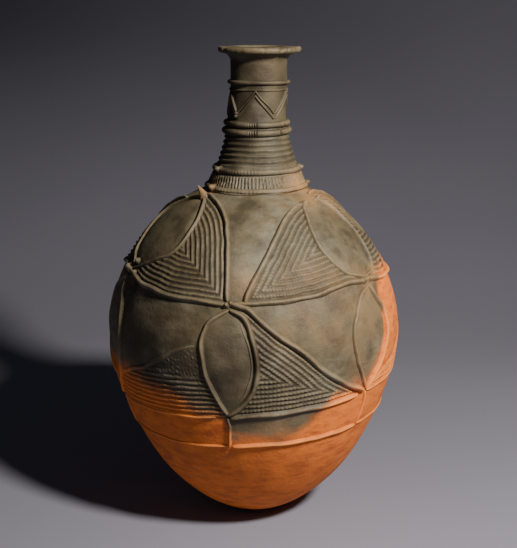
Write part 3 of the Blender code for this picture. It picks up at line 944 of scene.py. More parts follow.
@dataclass(frozen=True)
class Hoop:
    """A closed roll of clay round the neck or the belly, plain or notched."""

    route: Route
    width: float
    height: float
    seed: int = 1
    rings: int = 420
    notches: int = 0
    notch_depth: float = 0.35
    notched_from: float = -180.0
    notched_to: float = 180.0
    slant: float = 0.0

    SIDES = 18

    def shape(self, name: str) -> bpy.types.Object:
        """Models the hoop.

        Args:
            name: Name of the piece.

        Returns:
            The hoop.
        """
        piece = Bench.hoop(name, self.SIDES, self.rings)
        azimuth, outward, upward = Bench.round_hoop(piece)
        share = np.mod(azimuth - self.route.places[0, 0], FULL_TURN)
        z = np.interp(share, self.route.places[:, 0] - self.route.places[0, 0], self.route.places[:, 1])
        turn = np.radians(azimuth)
        spot = WALL.place(azimuth, z)
        top = np.clip((outward + 0.25) / 1.25, -0.25, 1.0)
        notch = np.zeros(len(azimuth))
        if self.notches:
            wave = 0.5 + 0.5 * np.cos(turn * self.notches + self.slant * upward)
            where = ease(azimuth, self.notched_from - 6.0, self.notched_from + 6.0)
            where = where * (1.0 - ease(azimuth, self.notched_to - 6.0, self.notched_to + 6.0))
            notch = self.notch_depth * wave ** 1.6 * where * np.clip(1.3 * top, 0.0, 1.0)
            notch = notch * (0.8 + 0.3 * Lumps(self.seed + 7, 0.008).at(spot))
        wide = self.width * (1.0 + 0.06 * Lumps(self.seed, 0.018).at(spot))
        tall = self.height * (1.0 + 0.10 * Lumps(self.seed + 3, 0.015).at(spot))
        height = z + 0.58 * wide * upward * (1.0 - 0.20 * np.clip(top, 0.0, 1.0))
        lift = tall * (np.sign(top) * np.abs(top) ** 0.85 - notch) + 0.00015
        Bench.write(piece, WALL.place(azimuth, height, lift))
        Bench.mark(piece, "crest", np.clip(top - 1.2 * notch, 0.0, 1.0))
        Bench.outwards(piece)
        return piece


@dataclass(frozen=True)
class CombedField:
    """A field of parallel ridges that follow the coils beside it and meet in mitres."""

    outline: np.ndarray
    guides: tuple[Route, ...]
    pitch: float = 0.0040
    first: float = 0.0056
    height: float = 0.0014
    bead: float = 0.0
    bead_pitch: float = 0.0030
    fade_low: float = 0.0
    fade_high: float = 1.0
    rough: float = 0.12
    seed: int = 1
    fineness: float = 0.00068
    depth: float = 0.0016

    def shape(self, name: str) -> bpy.types.Object:
        """Models the field as a thin sheet on the wall, its edges under the coils.

        Args:
            name: Name of the piece.

        Returns:
            The sheet, closed all round.
        """
        low, high = self.outline.min(axis=0), self.outline.max(axis=0)
        heights = WALL.even_heights(low[1], high[1], self.fineness)
        middle = float(WALL.radius(np.array([0.5 * (low[1] + high[1])]))[0])
        columns = int(math.radians(high[0] - low[0]) * middle / self.fineness)
        Bench.clear()
        bpy.ops.mesh.primitive_grid_add(x_subdivisions=columns, y_subdivisions=len(heights) - 1, size=1.0)
        piece = bpy.context.object
        piece.name = name
        unit = Bench.read(piece) + 0.5
        azimuth = low[0] + (high[0] - low[0]) * unit[:, 0]
        z = np.interp(unit[:, 1], np.linspace(0.0, 1.0, len(heights)), heights)
        kept = inside(self.outline, np.column_stack([azimuth, z]))
        self.trim(piece, kept)
        azimuth, z = azimuth[kept], z[kept]
        lift, crest = self.relief(azimuth, z)
        Bench.write(piece, WALL.place(azimuth, z, lift))
        Bench.mark(piece, "crest", crest)
        Bench.clear()
        piece.select_set(True)
        bpy.context.view_layer.objects.active = piece
        bpy.ops.object.modifier_add(type="SOLIDIFY")
        backing = piece.modifiers[-1]
        backing.thickness = self.depth
        backing.offset = -1.0
        bpy.ops.object.modifier_apply(modifier=backing.name)
        return piece

    @staticmethod
    def trim(piece: bpy.types.Object, kept: np.ndarray) -> None:
        """Cuts away the vertices that are not kept."""
        bpy.ops.object.mode_set(mode="EDIT")
        bpy.ops.mesh.select_mode(type="VERT")
        bpy.ops.mesh.select_all(action="DESELECT")
        bpy.ops.object.mode_set(mode="OBJECT")
        piece.data.vertices.foreach_set("select", ~kept)
        bpy.ops.object.mode_set(mode="EDIT")
        bpy.ops.mesh.delete(type="VERT")
        bpy.ops.object.mode_set(mode="OBJECT")

    def relief(self, azimuth: np.ndarray, z: np.ndarray) -> tuple[np.ndarray, np.ndarray]:
        """Height of the ridges.

        Args:
            azimuth: Degrees round the pot.
            z: Heights.

        Returns:
            Lift off the wall and how near each spot is to a ridge's crest.
        """
        points = WALL.place(azimuth, z)
        found = [guide.nearest(points) for guide in self.guides]
        gaps = np.stack([gap for gap, _ in found])
        alongs = np.stack([along for _, along in found])
        best = gaps.argmin(axis=0)
        rows = np.arange(len(points))
        gap, along = gaps[best, rows], alongs[best, rows]
        gap = gap + 0.00035 * Lumps(self.seed, 0.018).at(points)
        wave = 0.5 + 0.5 * np.cos(2.0 * math.pi * (gap - self.first) / self.pitch)
        ridge = wave ** 1.15
        if self.bead:
            line = np.rint((gap - self.first) / self.pitch)
            twist = along + 0.45 * (gap - self.first) + 0.0011 * line
            beads = 0.5 + 0.5 * np.cos(2.0 * math.pi * twist / self.bead_pitch)
            ridge = ridge * (1.0 - self.bead + self.bead * beads ** 0.8)
        worn = 1.0 + 0.20 * Lumps(self.seed + 5, 0.020).at(points)
        grit = self.rough * Lumps(self.seed + 9, 0.0042).at(points)
        strength = 1.0 - ease(z, self.fade_low, self.fade_high) if self.fade_low else np.ones(len(z))
        ridge = np.clip(ridge * worn * strength + grit * (0.6 + 0.8 * (1.0 - strength)), -0.2, 1.3)
        edge = self.edge(points)
        lift = -0.0006 * (1.0 - edge) + edge * (0.00008 + self.height * np.maximum(ridge, 0.0))
        return lift, np.clip(ridge, 0.0, 1.0)

    def edge(self, points: np.ndarray) -> np.ndarray:
        """0 at the edge of the field, 1 a little way inside it."""
        outline = np.vstack([self.outline, self.outline[:1]])
        border = Route.__new__(Route)
        border.places = outline
        border.points = WALL.place(outline[:, 0], outline[:, 1])
        border.travelled = np.arange(len(outline), dtype=float)
        gap, _ = border.nearest(points)
        return ease(gap, 0.0, 0.0022)


@dataclass(frozen=True)
class Pattern:
    """Lines of the applied decoration: six meeting places round the belly and what joins them.

    A place of a leaf's side is degrees from the leaf's meeting place, or from its crown if it is hooked,
    and a height. One of a sweep or diagonal is the share of the way round to where it is going, and a
    height. One of a girdle is that share, and the share of the rise. A crown is the leaf it is over, its
    azimuth and its height. A band's coil is its middle height, its tilt and the azimuth it is highest at.
    """

    nodes: tuple[Place, ...] = ((-69.0, 0.2530), (-9.5, 0.2415), (54.5, 0.2495), (116.0, 0.2420),
                                (176.0, 0.2505), (236.0, 0.2420))
    tips: tuple[float, ...] = (-71.0, -9.8, 48.6, 113.0, 172.5, 233.5)
    tip_rise: float = 0.0020
    slim_tip: Place = (-0.3, 0.1426)
    broad_tip: Place = (-5.9, 0.1522)
    crowns: tuple[tuple[int, float, float], ...] = ((0, -57.0, 0.3180), (2, 56.0, 0.3150), (4, 174.0, 0.3160))
    band_high: tuple[float, float, float] = (0.1395, 0.0120, 75.0)
    band_low: tuple[float, float, float] = (0.1072, 0.0088, 70.0)
    slim_leaf_left: tuple[Place, ...] = ((-6.9, 0.2276), (-8.8, 0.2190), (-9.6, 0.2104), (-9.5, 0.2010),
                                         (-8.8, 0.1900), (-7.7, 0.1795), (-6.1, 0.1695), (-4.1, 0.1594),
                                         (-2.1, 0.1500))
    slim_leaf_right: tuple[Place, ...] = ((4.8, 0.2330), (7.1, 0.2251), (8.5, 0.2169), (10.0, 0.2060),
                                          (10.7, 0.1956), (10.8, 0.1838), (9.8, 0.1726), (8.0, 0.1620),
                                          (4.9, 0.1519), (2.0, 0.1460))
    broad_leaf_left: tuple[Place, ...] = ((-6.7, 0.2397), (-10.0, 0.2325), (-12.5, 0.2224), (-14.3, 0.2128),
                                          (-14.6, 0.1996), (-12.9, 0.1848), (-10.0, 0.1705), (-7.6, 0.1595))
    broad_leaf_right: tuple[Place, ...] = ((2.1, 0.2339), (4.8, 0.2243), (6.1, 0.2125), (5.8, 0.2016),
                                           (3.9, 0.1885), (1.6, 0.1755), (-1.8, 0.1650), (-4.5, 0.1570))
    crown_left: tuple[Place, ...] = ((-11.5, 0.3135), (-15.7, 0.3091), (-19.2, 0.3005), (-20.4, 0.2916),
                                     (-20.0, 0.2830), (-17.9, 0.2747), (-14.7, 0.2658), (-10.6, 0.2589))
    crown_right: tuple[Place, ...] = ((12.0, 0.3135), (17.0, 0.3084), (17.6, 0.3012), (16.2, 0.2901),
                                      (15.2, 0.2833), (13.6, 0.2749), (12.7, 0.2672), (10.1, 0.2603),
                                      (6.0, 0.2550))
    hooked_left: tuple[Place, ...] = ((-12.0, 0.3160), (-23.0, 0.3090), (-28.5, 0.3010), (-27.6, 0.2912),
                                      (-23.1, 0.2814), (-20.0, 0.2733), (-16.0, 0.2666), (-11.8, 0.2611))
    hooked_right: tuple[Place, ...] = ((6.5, 0.3160), (12.7, 0.3123), (16.4, 0.3075), (18.1, 0.3016),
                                       (18.2, 0.2955), (18.1, 0.2892), (17.6, 0.2844), (15.8, 0.2792),
                                       (11.5, 0.2732), (3.4, 0.2656), (-6.8, 0.2571))
    girdle_rise: tuple[Place, ...] = ((0.06, 0.08), (0.19, 0.26), (0.28, 0.32), (0.37, 0.36), (0.46, 0.54),
                                      (0.57, 0.70), (0.68, 1.00), (0.81, 1.22), (0.92, 1.10))
    girdle_fall: tuple[Place, ...] = ((0.06, 0.08), (0.18, 0.34), (0.28, 0.56), (0.39, 0.65), (0.50, 0.82),
                                      (0.58, 0.87), (0.81, 0.90), (0.94, 1.0))
    sweep_right: tuple[Place, ...] = ((0.80, 0.3137), (0.688, 0.3126), (0.545, 0.3084), (0.436, 0.3018),
                                      (0.330, 0.2913), (0.261, 0.2812), (0.205, 0.2715), (0.156, 0.2617),
                                      (0.119, 0.2525), (0.102, 0.2470), (0.095, 0.2430))
    sweep_left: tuple[Place, ...] = ((0.85, 0.3190), (0.778, 0.3193), (0.637, 0.3191), (0.432, 0.3163),
                                     (0.289, 0.3124), (0.180, 0.3068), (0.116, 0.2999), (0.077, 0.2913),
                                     (0.052, 0.2803), (0.035, 0.2690), (0.022, 0.2576), (0.017, 0.2435))
    diagonal: tuple[Place, ...] = ((0.0, 0.2425), (0.076, 0.2401), (0.121, 0.2379), (0.172, 0.2331),
                                   (0.215, 0.2283), (0.263, 0.2224), (0.324, 0.2151), (0.385, 0.2092),
                                   (0.445, 0.2029), (0.508, 0.1954), (0.575, 0.1869), (0.648, 0.1778),
                                   (0.728, 0.1699), (0.816, 0.1628), (0.919, 0.1557), (0.975, 0.1518))
    faint_diagonal: tuple[Place, ...] = ((0.20, 0.2056), (0.32, 0.1985), (0.60, 0.1750), (0.80, 0.1640),
                                         (0.96, 0.1560))

    def node(self, index: int) -> Place:
        """Meeting place, counted round the pot without a jump at the back."""
        azimuth, z = self.nodes[index % MEETING_PLACES]
        return azimuth + FULL_TURN * (index // MEETING_PLACES), z

    def tip(self, index: int) -> float:
        """Azimuth of a lower leaf's tip, counted without a jump."""
        return self.tips[index % MEETING_PLACES] + FULL_TURN * (index // MEETING_PLACES)

    def band(self, azimuth: float | np.ndarray, high: bool) -> float | np.ndarray:
        """Height of the band's upper or lower coil at an azimuth."""
        middle, tilt, highest = self.band_high if high else self.band_low
        return middle + tilt * np.cos(np.radians(azimuth - highest))

    def spread(self, width: float, z: float) -> float:
        """Degrees that a width along the wall spans at a height."""
        return math.degrees(width / float(WALL.radius(np.array([z]))[0]))

    def lower_leaf_side(self, index: int, side: float) -> Route:
        """Left or right coil of a leaf below the belly's meeting place, from its top to its tip."""
        azimuth, z = self.node(index)
        tip = self.tip(index)
        bottom = (tip, float(self.band(tip, True)) + self.tip_rise)
        if index % 2:
            shape = self.slim_leaf_left if side < 0 else self.slim_leaf_right
            usual_aside, usual_z = self.slim_tip
        else:
            shape = self.broad_leaf_left if side < 0 else self.broad_leaf_right
            usual_aside, usual_z = self.broad_tip
        places = []
        for degrees, height in shape:
            drawn = 1.0 - ease_number(height, 0.15, 0.23)
            moved = azimuth + degrees + drawn * (tip - azimuth - usual_aside)
            places.append((moved, height + drawn * (bottom[1] - usual_z)))
        return Route([(azimuth, z - 0.004), *places, bottom])

    def upper_leaf_side(self, index: int, side: float) -> Route:
        """Left or right coil of a leaf above the belly's meeting place, from its crown down."""
        owner = index % MEETING_PLACES
        _, crown, crown_z = next(entry for entry in self.crowns if entry[0] == owner)
        crown += FULL_TURN * (index // MEETING_PLACES)
        azimuth, z = self.node(index)
        if owner == 0:
            shape = self.hooked_left if side < 0 else self.hooked_right
            middle, top = crown, (crown, crown_z)
        else:
            shape = self.crown_left if side < 0 else self.crown_right
            middle, top = azimuth, (crown + 3.0 * side, crown_z)
        places = [(middle + degrees, height) for degrees, height in shape]
        return Route([top, *places, (azimuth, z + 0.003)])

    def girdle(self, index: int) -> Route:
        """Coil from one meeting place to the next, round the belly."""
        (start, low), (end, high) = self.node(index), self.node(index + 1)
        shares = self.girdle_rise if high > low else self.girdle_fall
        between = [(start + (end - start) * share, low + (high - low) * rise) for share, rise in shares]
        return Route([(start, low), *between, (end, high)])

    def sweep(self, index: int, side: float) -> Route:
        """Coil that sweeps down from the neck's foot to an odd meeting place."""
        azimuth, _ = self.node(index)
        other, _ = self.node(index + (1 if side > 0 else -1))
        shares = self.sweep_right if side > 0 else self.sweep_left
        return Route([(azimuth + share * (other - azimuth), z) for share, z in shares])

    def slant(self, index: int, side: float) -> Route:
        """Coil from an odd meeting place down to the next leaf's tip."""
        azimuth, _ = self.node(index)
        tip = self.tip(index + (1 if side > 0 else -1))
        shares = self.diagonal if side > 0 else self.faint_diagonal
        return Route([(azimuth + share * (tip - azimuth), z) for share, z in shares])

    def band_run(self, start: float, end: float, high: bool) -> Route:
        """A stretch of the band's upper or lower coil."""
        angles = np.linspace(start, end, max(4, int(abs(end - start) / 8.0)))
        return Route([(float(angle), float(self.band(angle, high))) for angle in angles])


@dataclass
class Body:
    """The pot's body and the coils and fields laid on it."""

    maker: Maker
    pattern: Pattern
    wall_clay: bpy.types.Material
    coil_clay: bpy.types.Material
    combed_clay: bpy.types.Material
    wall_thickness: float = 0.007
    swell: float = 0.0009

    def build(self) -> None:
        """Builds the wall and everything on it."""
        self.build_wall()
        self.build_band()
        for index in range(MEETING_PLACES):
            self.build_leaves(index)
            self.build_girdle(index)
            if index % 2:
                self.build_star(index)
                self.build_fields(index)

    def build_wall(self) -> None:
        """Turns the wall from the foot to the neck, outside and inside, and makes it uneven."""
        top = WALL.neck_base_z
        outer = WALL.even_heights(0.0, top, 0.0024)[::-1]
        inner = WALL.even_heights(0.012, top, 0.0060)
        radial, vertical = WALL.normal(inner)
        outline = [(float(r), float(z)) for r, z in zip(WALL.radius(outer), outer)]
        outline += [(0.014, 0.0), (0.0, 0.0), (0.0, self.wall_thickness)]
        inside_radius = WALL.radius(inner) - self.wall_thickness * radial
        inside_z = inner - self.wall_thickness * vertical
        outline += [(float(r), float(z)) for r, z in zip(inside_radius, inside_z)]
        outline.append((float(inside_radius[-1]), top))
        turn = outline.index((0.0, 0.0))
        outline = outline[turn + 1:] + outline[:turn + 1]
        piece = Bench.turned("pot_body", outline, 300, False)
        points = Bench.read(piece)
        radius = np.hypot(points[:, 0], points[:, 1])
        azimuth = bearings(points)
        outside = (radius > WALL.radius(points[:, 2]) - 0.001) & (points[:, 2] > 0.0005)
        moved = points.copy()
        moved[:, 0] += WALL.lean(points[:, 2])
        z = points[outside, 2]
        moved[outside] = WALL.place(azimuth[outside], z, self.pillows(azimuth[outside], z))
        Bench.write(piece, moved)
        walls = ("base_bowl", "belly_wall", "shoulder_wall")
        self.maker.finish(piece, self.wall_clay, Slot.SMOKED, walls, 60.0)

    def pillows(self, azimuth: np.ndarray, z: np.ndarray) -> np.ndarray:
        """How far the plain fields inside the leaves swell or sink.

        Args:
            azimuth: Degrees round the pot.
            z: Heights.

        Returns:
            Lift off the wall.
        """
        points = WALL.place(azimuth, z)
        lift = np.zeros(len(z))
        for index in range(MEETING_PLACES):
            sides = [self.pattern.lower_leaf_side(index, side) for side in (-1.0, 1.0)]
            lift += self.pillow(azimuth, z, points, sides)
            if index % 2 == 0:
                sides = [self.pattern.upper_leaf_side(index, side) for side in (-1.0, 1.0)]
                lift += self.pillow(azimuth, z, points, sides)
        return lift

    def pillow(self, azimuth: np.ndarray, z: np.ndarray, points: np.ndarray,
               sides: Sequence[Route]) -> np.ndarray:
        """Swell of one leaf's field, none at its coils.

        Args:
            azimuth: Degrees round the pot.
            z: Heights.
            points: The same spots on the wall.
            sides: The leaf's two coils.

        Returns:
            Lift off the wall.
        """
        outline = np.vstack([sides[0].places, sides[1].places[::-1]])
        lift = np.zeros(len(z))
        for turn in (0.0, FULL_TURN):
            within = inside(outline, np.column_stack([azimuth + turn, z]))
            if within.any():
                gap = np.minimum(*(side.nearest(points[within])[0] for side in sides))
                lift[within] = self.swell * ease(gap, 0.003, 0.007)
        return lift

    def build_leaves(self, index: int) -> None:
        """Lays the outline coils of the leaves at a meeting place."""
        number = index + 1
        slim = index % 2 == 1
        sides = []
        sizes = ((-1.0, 0.0038, 0.0024), (1.0, 0.0048 if slim else 0.0040, 0.0032))
        for turn, (side, width, height) in enumerate(sizes):
            route = self.pattern.lower_leaf_side(index, side)
            coil = Coil(route, width, height, 0.012, 0.008, 0.2, 0.5, seed=20 + 2 * index + turn)
            sides.append(coil.shape(f"side_{turn}"))
        if slim:
            route = self.pattern.lower_leaf_side(index, 1.0)
            middle = route.places[20:-20:8]
            inner = Route([(azimuth - self.pattern.spread(0.0052, z), z) for azimuth, z in middle])
            lip = Coil(inner, 0.0026, 0.0013, 0.020, 0.020, 0.2, 0.2, seed=40 + index, roundness=1.5)
            sides.append(lip.shape("lip"))
        leaf = Bench.joined(sides, f"leaf_below_{number}")
        self.maker.finish(leaf, self.coil_clay, Slot.SMOKED, (f"lower_leaf_{number}",))
        if slim:
            return
        sides = []
        bold = index == 0
        for turn, (side, width) in enumerate(((-1.0, 0.0028 if bold else 0.0040), (1.0, 0.0036))):
            route = self.pattern.upper_leaf_side(index, side)
            fading = 0.055 if bold and side > 0 else 0.012
            coil = Coil(route, width, 0.0024, 0.008, fading, 0.5, 0.15, seed=60 + 2 * index + turn)
            sides.append(coil.shape(f"side_{turn}"))
        leaf = Bench.joined(sides, f"leaf_above_{number}")
        self.maker.finish(leaf, self.coil_clay, Slot.SMOKED, (f"upper_leaf_{number}",))

    def lay(self, coil: Coil, name: str, node: str, slot: Slot = Slot.SMOKED) -> None:
        """Models and dresses one coil that stands for one CAD node."""
        self.maker.finish(coil.shape(name), self.coil_clay, slot, (node,))

    def build_girdle(self, index: int) -> None:
        """Lays the coil to the next meeting place and the knobs where it starts."""
        number = index + 1
        coil = Coil(self.pattern.girdle(index), 0.0046, 0.0032, 0.010, 0.010, 0.4, 0.4, seed=80 + index)
        self.lay(coil, f"girdle_{number}", f"girdle_coil_{number}")
        azimuth, z = self.pattern.node(index)
        if index % 2:
            lumps = [self.knob(azimuth - 1.0, z - 0.0004, 0.0027, 0.0046, 0.15, 100 + index),
                     self.knob(azimuth + 0.6, z + 0.0012, 0.0022, 0.0036, 0.10, 110 + index)]
        elif index == 0:
            lumps = [self.knob(azimuth - 0.2, z + 0.0009, 0.0046, 0.0066, 0.15, 100),
                     self.knob(azimuth + 4.3, z + 0.0088, 0.0030, 0.0044, 0.10, 110),
                     self.knob(azimuth + 6.4, z - 0.0004, 0.0028, 0.0040, 0.10, 111)]
        else:
            lumps = [self.knob(azimuth - 2.0, z + 0.0004, 0.0032, 0.0050, 0.15, 100 + index),
                     self.knob(azimuth + 2.1, z + 0.0004, 0.0030, 0.0048, 0.10, 110 + index)]
        knobs = Bench.joined(lumps, f"knobs_{number}")
        self.maker.finish(knobs, self.coil_clay, Slot.SMOKED, (f"girdle_knob_{number}",))

    @staticmethod
    def knob(azimuth: float, z: float, radius: float, height: float, point: float, seed: int,
             lean: float = 0.0, aside: float = 0.0) -> bpy.types.Object:
        """Models a pressed-on lump.

        Args:
            azimuth: Degrees round the pot.
            z: Height.
            radius: Half its width.
            height: How far it stands out.
            point: 0 for a round top, up to 0.8 for a pointed one.
            seed: Picks its unevenness.
            lean: How far its top leans up.
            aside: How far its top leans to the right.

        Returns:
            The lump, its back in the wall.
        """
        piece = Bench.ball("lump")
        unit = Bench.read(piece)
        out = np.clip(unit[:, 2], -0.3, 1.0)
        waist = 1.0 - point * np.clip(out, 0.0, 1.0) ** 0.8
        foot = 1.0 + 0.30 * np.exp(-(out / 0.22) ** 2)
        uneven = 1.0 + 0.10 * Lumps(seed, 1.6).at(unit)
        side = radius * unit[:, 0] * waist * foot * uneven + aside * np.clip(out, 0.0, 1.0) ** 1.5
        up = radius * unit[:, 1] * waist * foot * uneven + lean * np.clip(out, 0.0, 1.0) ** 1.5
        middle = WALL.place(np.array([azimuth]), np.array([z]))[0]
        radial, vertical = (float(v[0]) for v in WALL.normal(np.array([z])))
        turn = math.radians(azimuth)
        normal = np.array([radial * math.sin(turn), -radial * math.cos(turn), vertical])
        rise = np.array([-vertical * math.sin(turn), vertical * math.cos(turn), radial])
        across = np.cross(rise, normal)
        points = middle + side[:, None] * across + up[:, None] * rise + (height * out)[:, None] * normal
        Bench.write(piece, points)
        Bench.mark(piece, "crest", np.clip(out, 0.0, 1.0) ** 0.7)
        Bench.outwards(piece)
        return piece

    def build_star(self, index: int) -> None:
        """Lays the coils that sweep down from the neck and on to the leaf tips."""
        number = index + 1
        left = Coil(self.pattern.sweep(index, -1.0), 0.0048, 0.0036, 0.010, 0.008, 0.4, 0.5, seed=120 + index)
        self.lay(left, f"sweep_left_{number}", f"sweep_coil_left_{number}")
        right = Coil(self.pattern.sweep(index, 1.0), 0.0048, 0.0034, 0.014, 0.006, 0.3, 0.5, seed=130 + index)
        self.lay(right, f"sweep_right_{number}", f"sweep_coil_right_{number}")
        slant = Coil(self.pattern.slant(index, 1.0), 0.0056, 0.0040, 0.010, 0.010, 0.4, 0.5, seed=140 + index)
        self.lay(slant, f"slant_{number}", f"diagonal_coil_right_{number}")
        faint = Coil(self.pattern.slant(index, -1.0), 0.0042, 0.0010, 0.030, 0.030, 0.2, 0.2,
                     seed=150 + index)
        self.lay(faint, f"faint_slant_{number}", f"diagonal_coil_left_{number}")
        crowned = index - 1
        _, azimuth, z = next(entry for entry in self.pattern.crowns if entry[0] == crowned)
        if crowned == 0:
            lumps = [self.knob(azimuth + 1.5, z + 0.0002, 0.0042, 0.0120, 0.55, 160, lean=0.0010,
                               aside=-0.0060)]
        else:
            lumps = [self.knob(azimuth - 12.0, z - 0.0010, 0.0034, 0.0042, 0.2, 160 + index),
                     self.knob(azimuth + 11.0, z + 0.0002, 0.0032, 0.0046, 0.3, 165 + index)]
        self.maker.finish(Bench.joined(lumps, f"horn_{crowned + 1}"), self.coil_clay, Slot.SMOKED,
                          (f"crown_horn_{crowned + 1}",))

    def build_fields(self, index: int) -> None:
        """Combs the four fields round an odd meeting place."""
        number = index + 1
        pattern = self.pattern
        sweep, girdle = pattern.sweep(index, -1.0), pattern.girdle(index - 1)
        leaf = pattern.upper_leaf_side(index - 1, 1.0)
        outline = np.vstack([sweep.places, girdle.places[::-1], leaf.places[::-1]])
        self.comb(f"combed_upper_left_{number}",
                  CombedField(outline, (sweep, girdle), pitch=0.0047, first=0.0050, height=0.0011,
                              rough=0.16, seed=200 + index))

        sweep, girdle = pattern.sweep(index, 1.0), pattern.girdle(index)
        leaf = pattern.upper_leaf_side(index + 1, -1.0)
        outline = np.vstack([sweep.places, girdle.places, leaf.places[::-1]])
        self.comb(f"combed_upper_right_{number}",
                  CombedField(outline, (sweep, girdle), pitch=0.0048, first=0.0052, bead=0.60, height=0.0014,
                              rough=0.18, seed=210 + index))

        slant, leaf = pattern.slant(index, 1.0), pattern.lower_leaf_side(index, 1.0)
        band = pattern.band_run(pattern.tip(index), pattern.tip(index + 1), True)
        outline = np.vstack([slant.places, band.places[::-1], leaf.places[::-1]])
        self.comb(f"combed_lower_right_{number}",
                  CombedField(outline, (slant, band), pitch=0.0045, first=0.0052, bead=0.35,
                              bead_pitch=0.0034, height=0.0013, rough=0.18, seed=220 + index))

        slant, leaf = pattern.slant(index, -1.0), pattern.lower_leaf_side(index, -1.0)
        band = pattern.band_run(pattern.tip(index - 1), pattern.tip(index), True)
        side = leaf.places[leaf.places[:, 1] < slant.places[0, 1]]
        outline = np.vstack([slant.places[::-1], side, band.places[::-1]])
        self.comb(f"combed_lower_left_{number}",
                  CombedField(outline, (band,), pitch=0.0046, first=0.0060, height=0.0011, rough=0.22,
                              fade_low=0.168, fade_high=0.184, seed=230 + index))

    def comb(self, name: str, combed: CombedField) -> None:
        """Models and dresses one combed field."""
        self.maker.finish(combed.shape(name), self.combed_clay, Slot.SMOKED, (), 75.0)

    def build_band(self) -> None:
        """Lays the band's two coils, in a stretch for each cell, and the ties between them."""
        pattern = self.pattern
        for high, name in ((True, "band_high"), (False, "band_low")):
            runs = []
            for index in range(MEETING_PLACES):
                slight = index % 2 == 0
                start = pattern.tip(index) + 0.8
                end = pattern.tip(index + 1) - (4.6 if high else 0.8)
                width, height = (0.0032, 0.0016) if slight else (0.0046, 0.0030)
                if not high:
                    width, height = 0.85 * width, 0.75 * height
                coil = Coil(pattern.band_run(start, end, high), width, height, 0.008, 0.012, 0.4, 0.3,
                            seed=170 + index + 10 * high)
                runs.append(coil.shape(f"run_{index}"))
            node = "band_coil_high" if high else "band_coil_low"
            slot = Slot.SMOKED if high else Slot.FIRED
            self.maker.finish(Bench.joined(runs, name), self.coil_clay, slot, (node,))
        for index in range(MEETING_PLACES):
            tip = pattern.tip(index)
            top = (tip - 0.4, float(pattern.band(tip, True)) + 0.0005)
            bend = (tip + 0.4, float(pattern.band(tip, False)) + 0.020)
            foot = (tip - 0.5, float(pattern.band(tip, False)) - 0.001)
            tie = Coil(Route([top, bend, foot]), 0.0027, 0.0020, 0.004, 0.004, 0.5, 0.5, seed=190 + index)
            self.lay(tie, f"tie_{index + 1}", f"band_tie_{index + 1}", Slot.FIRED)


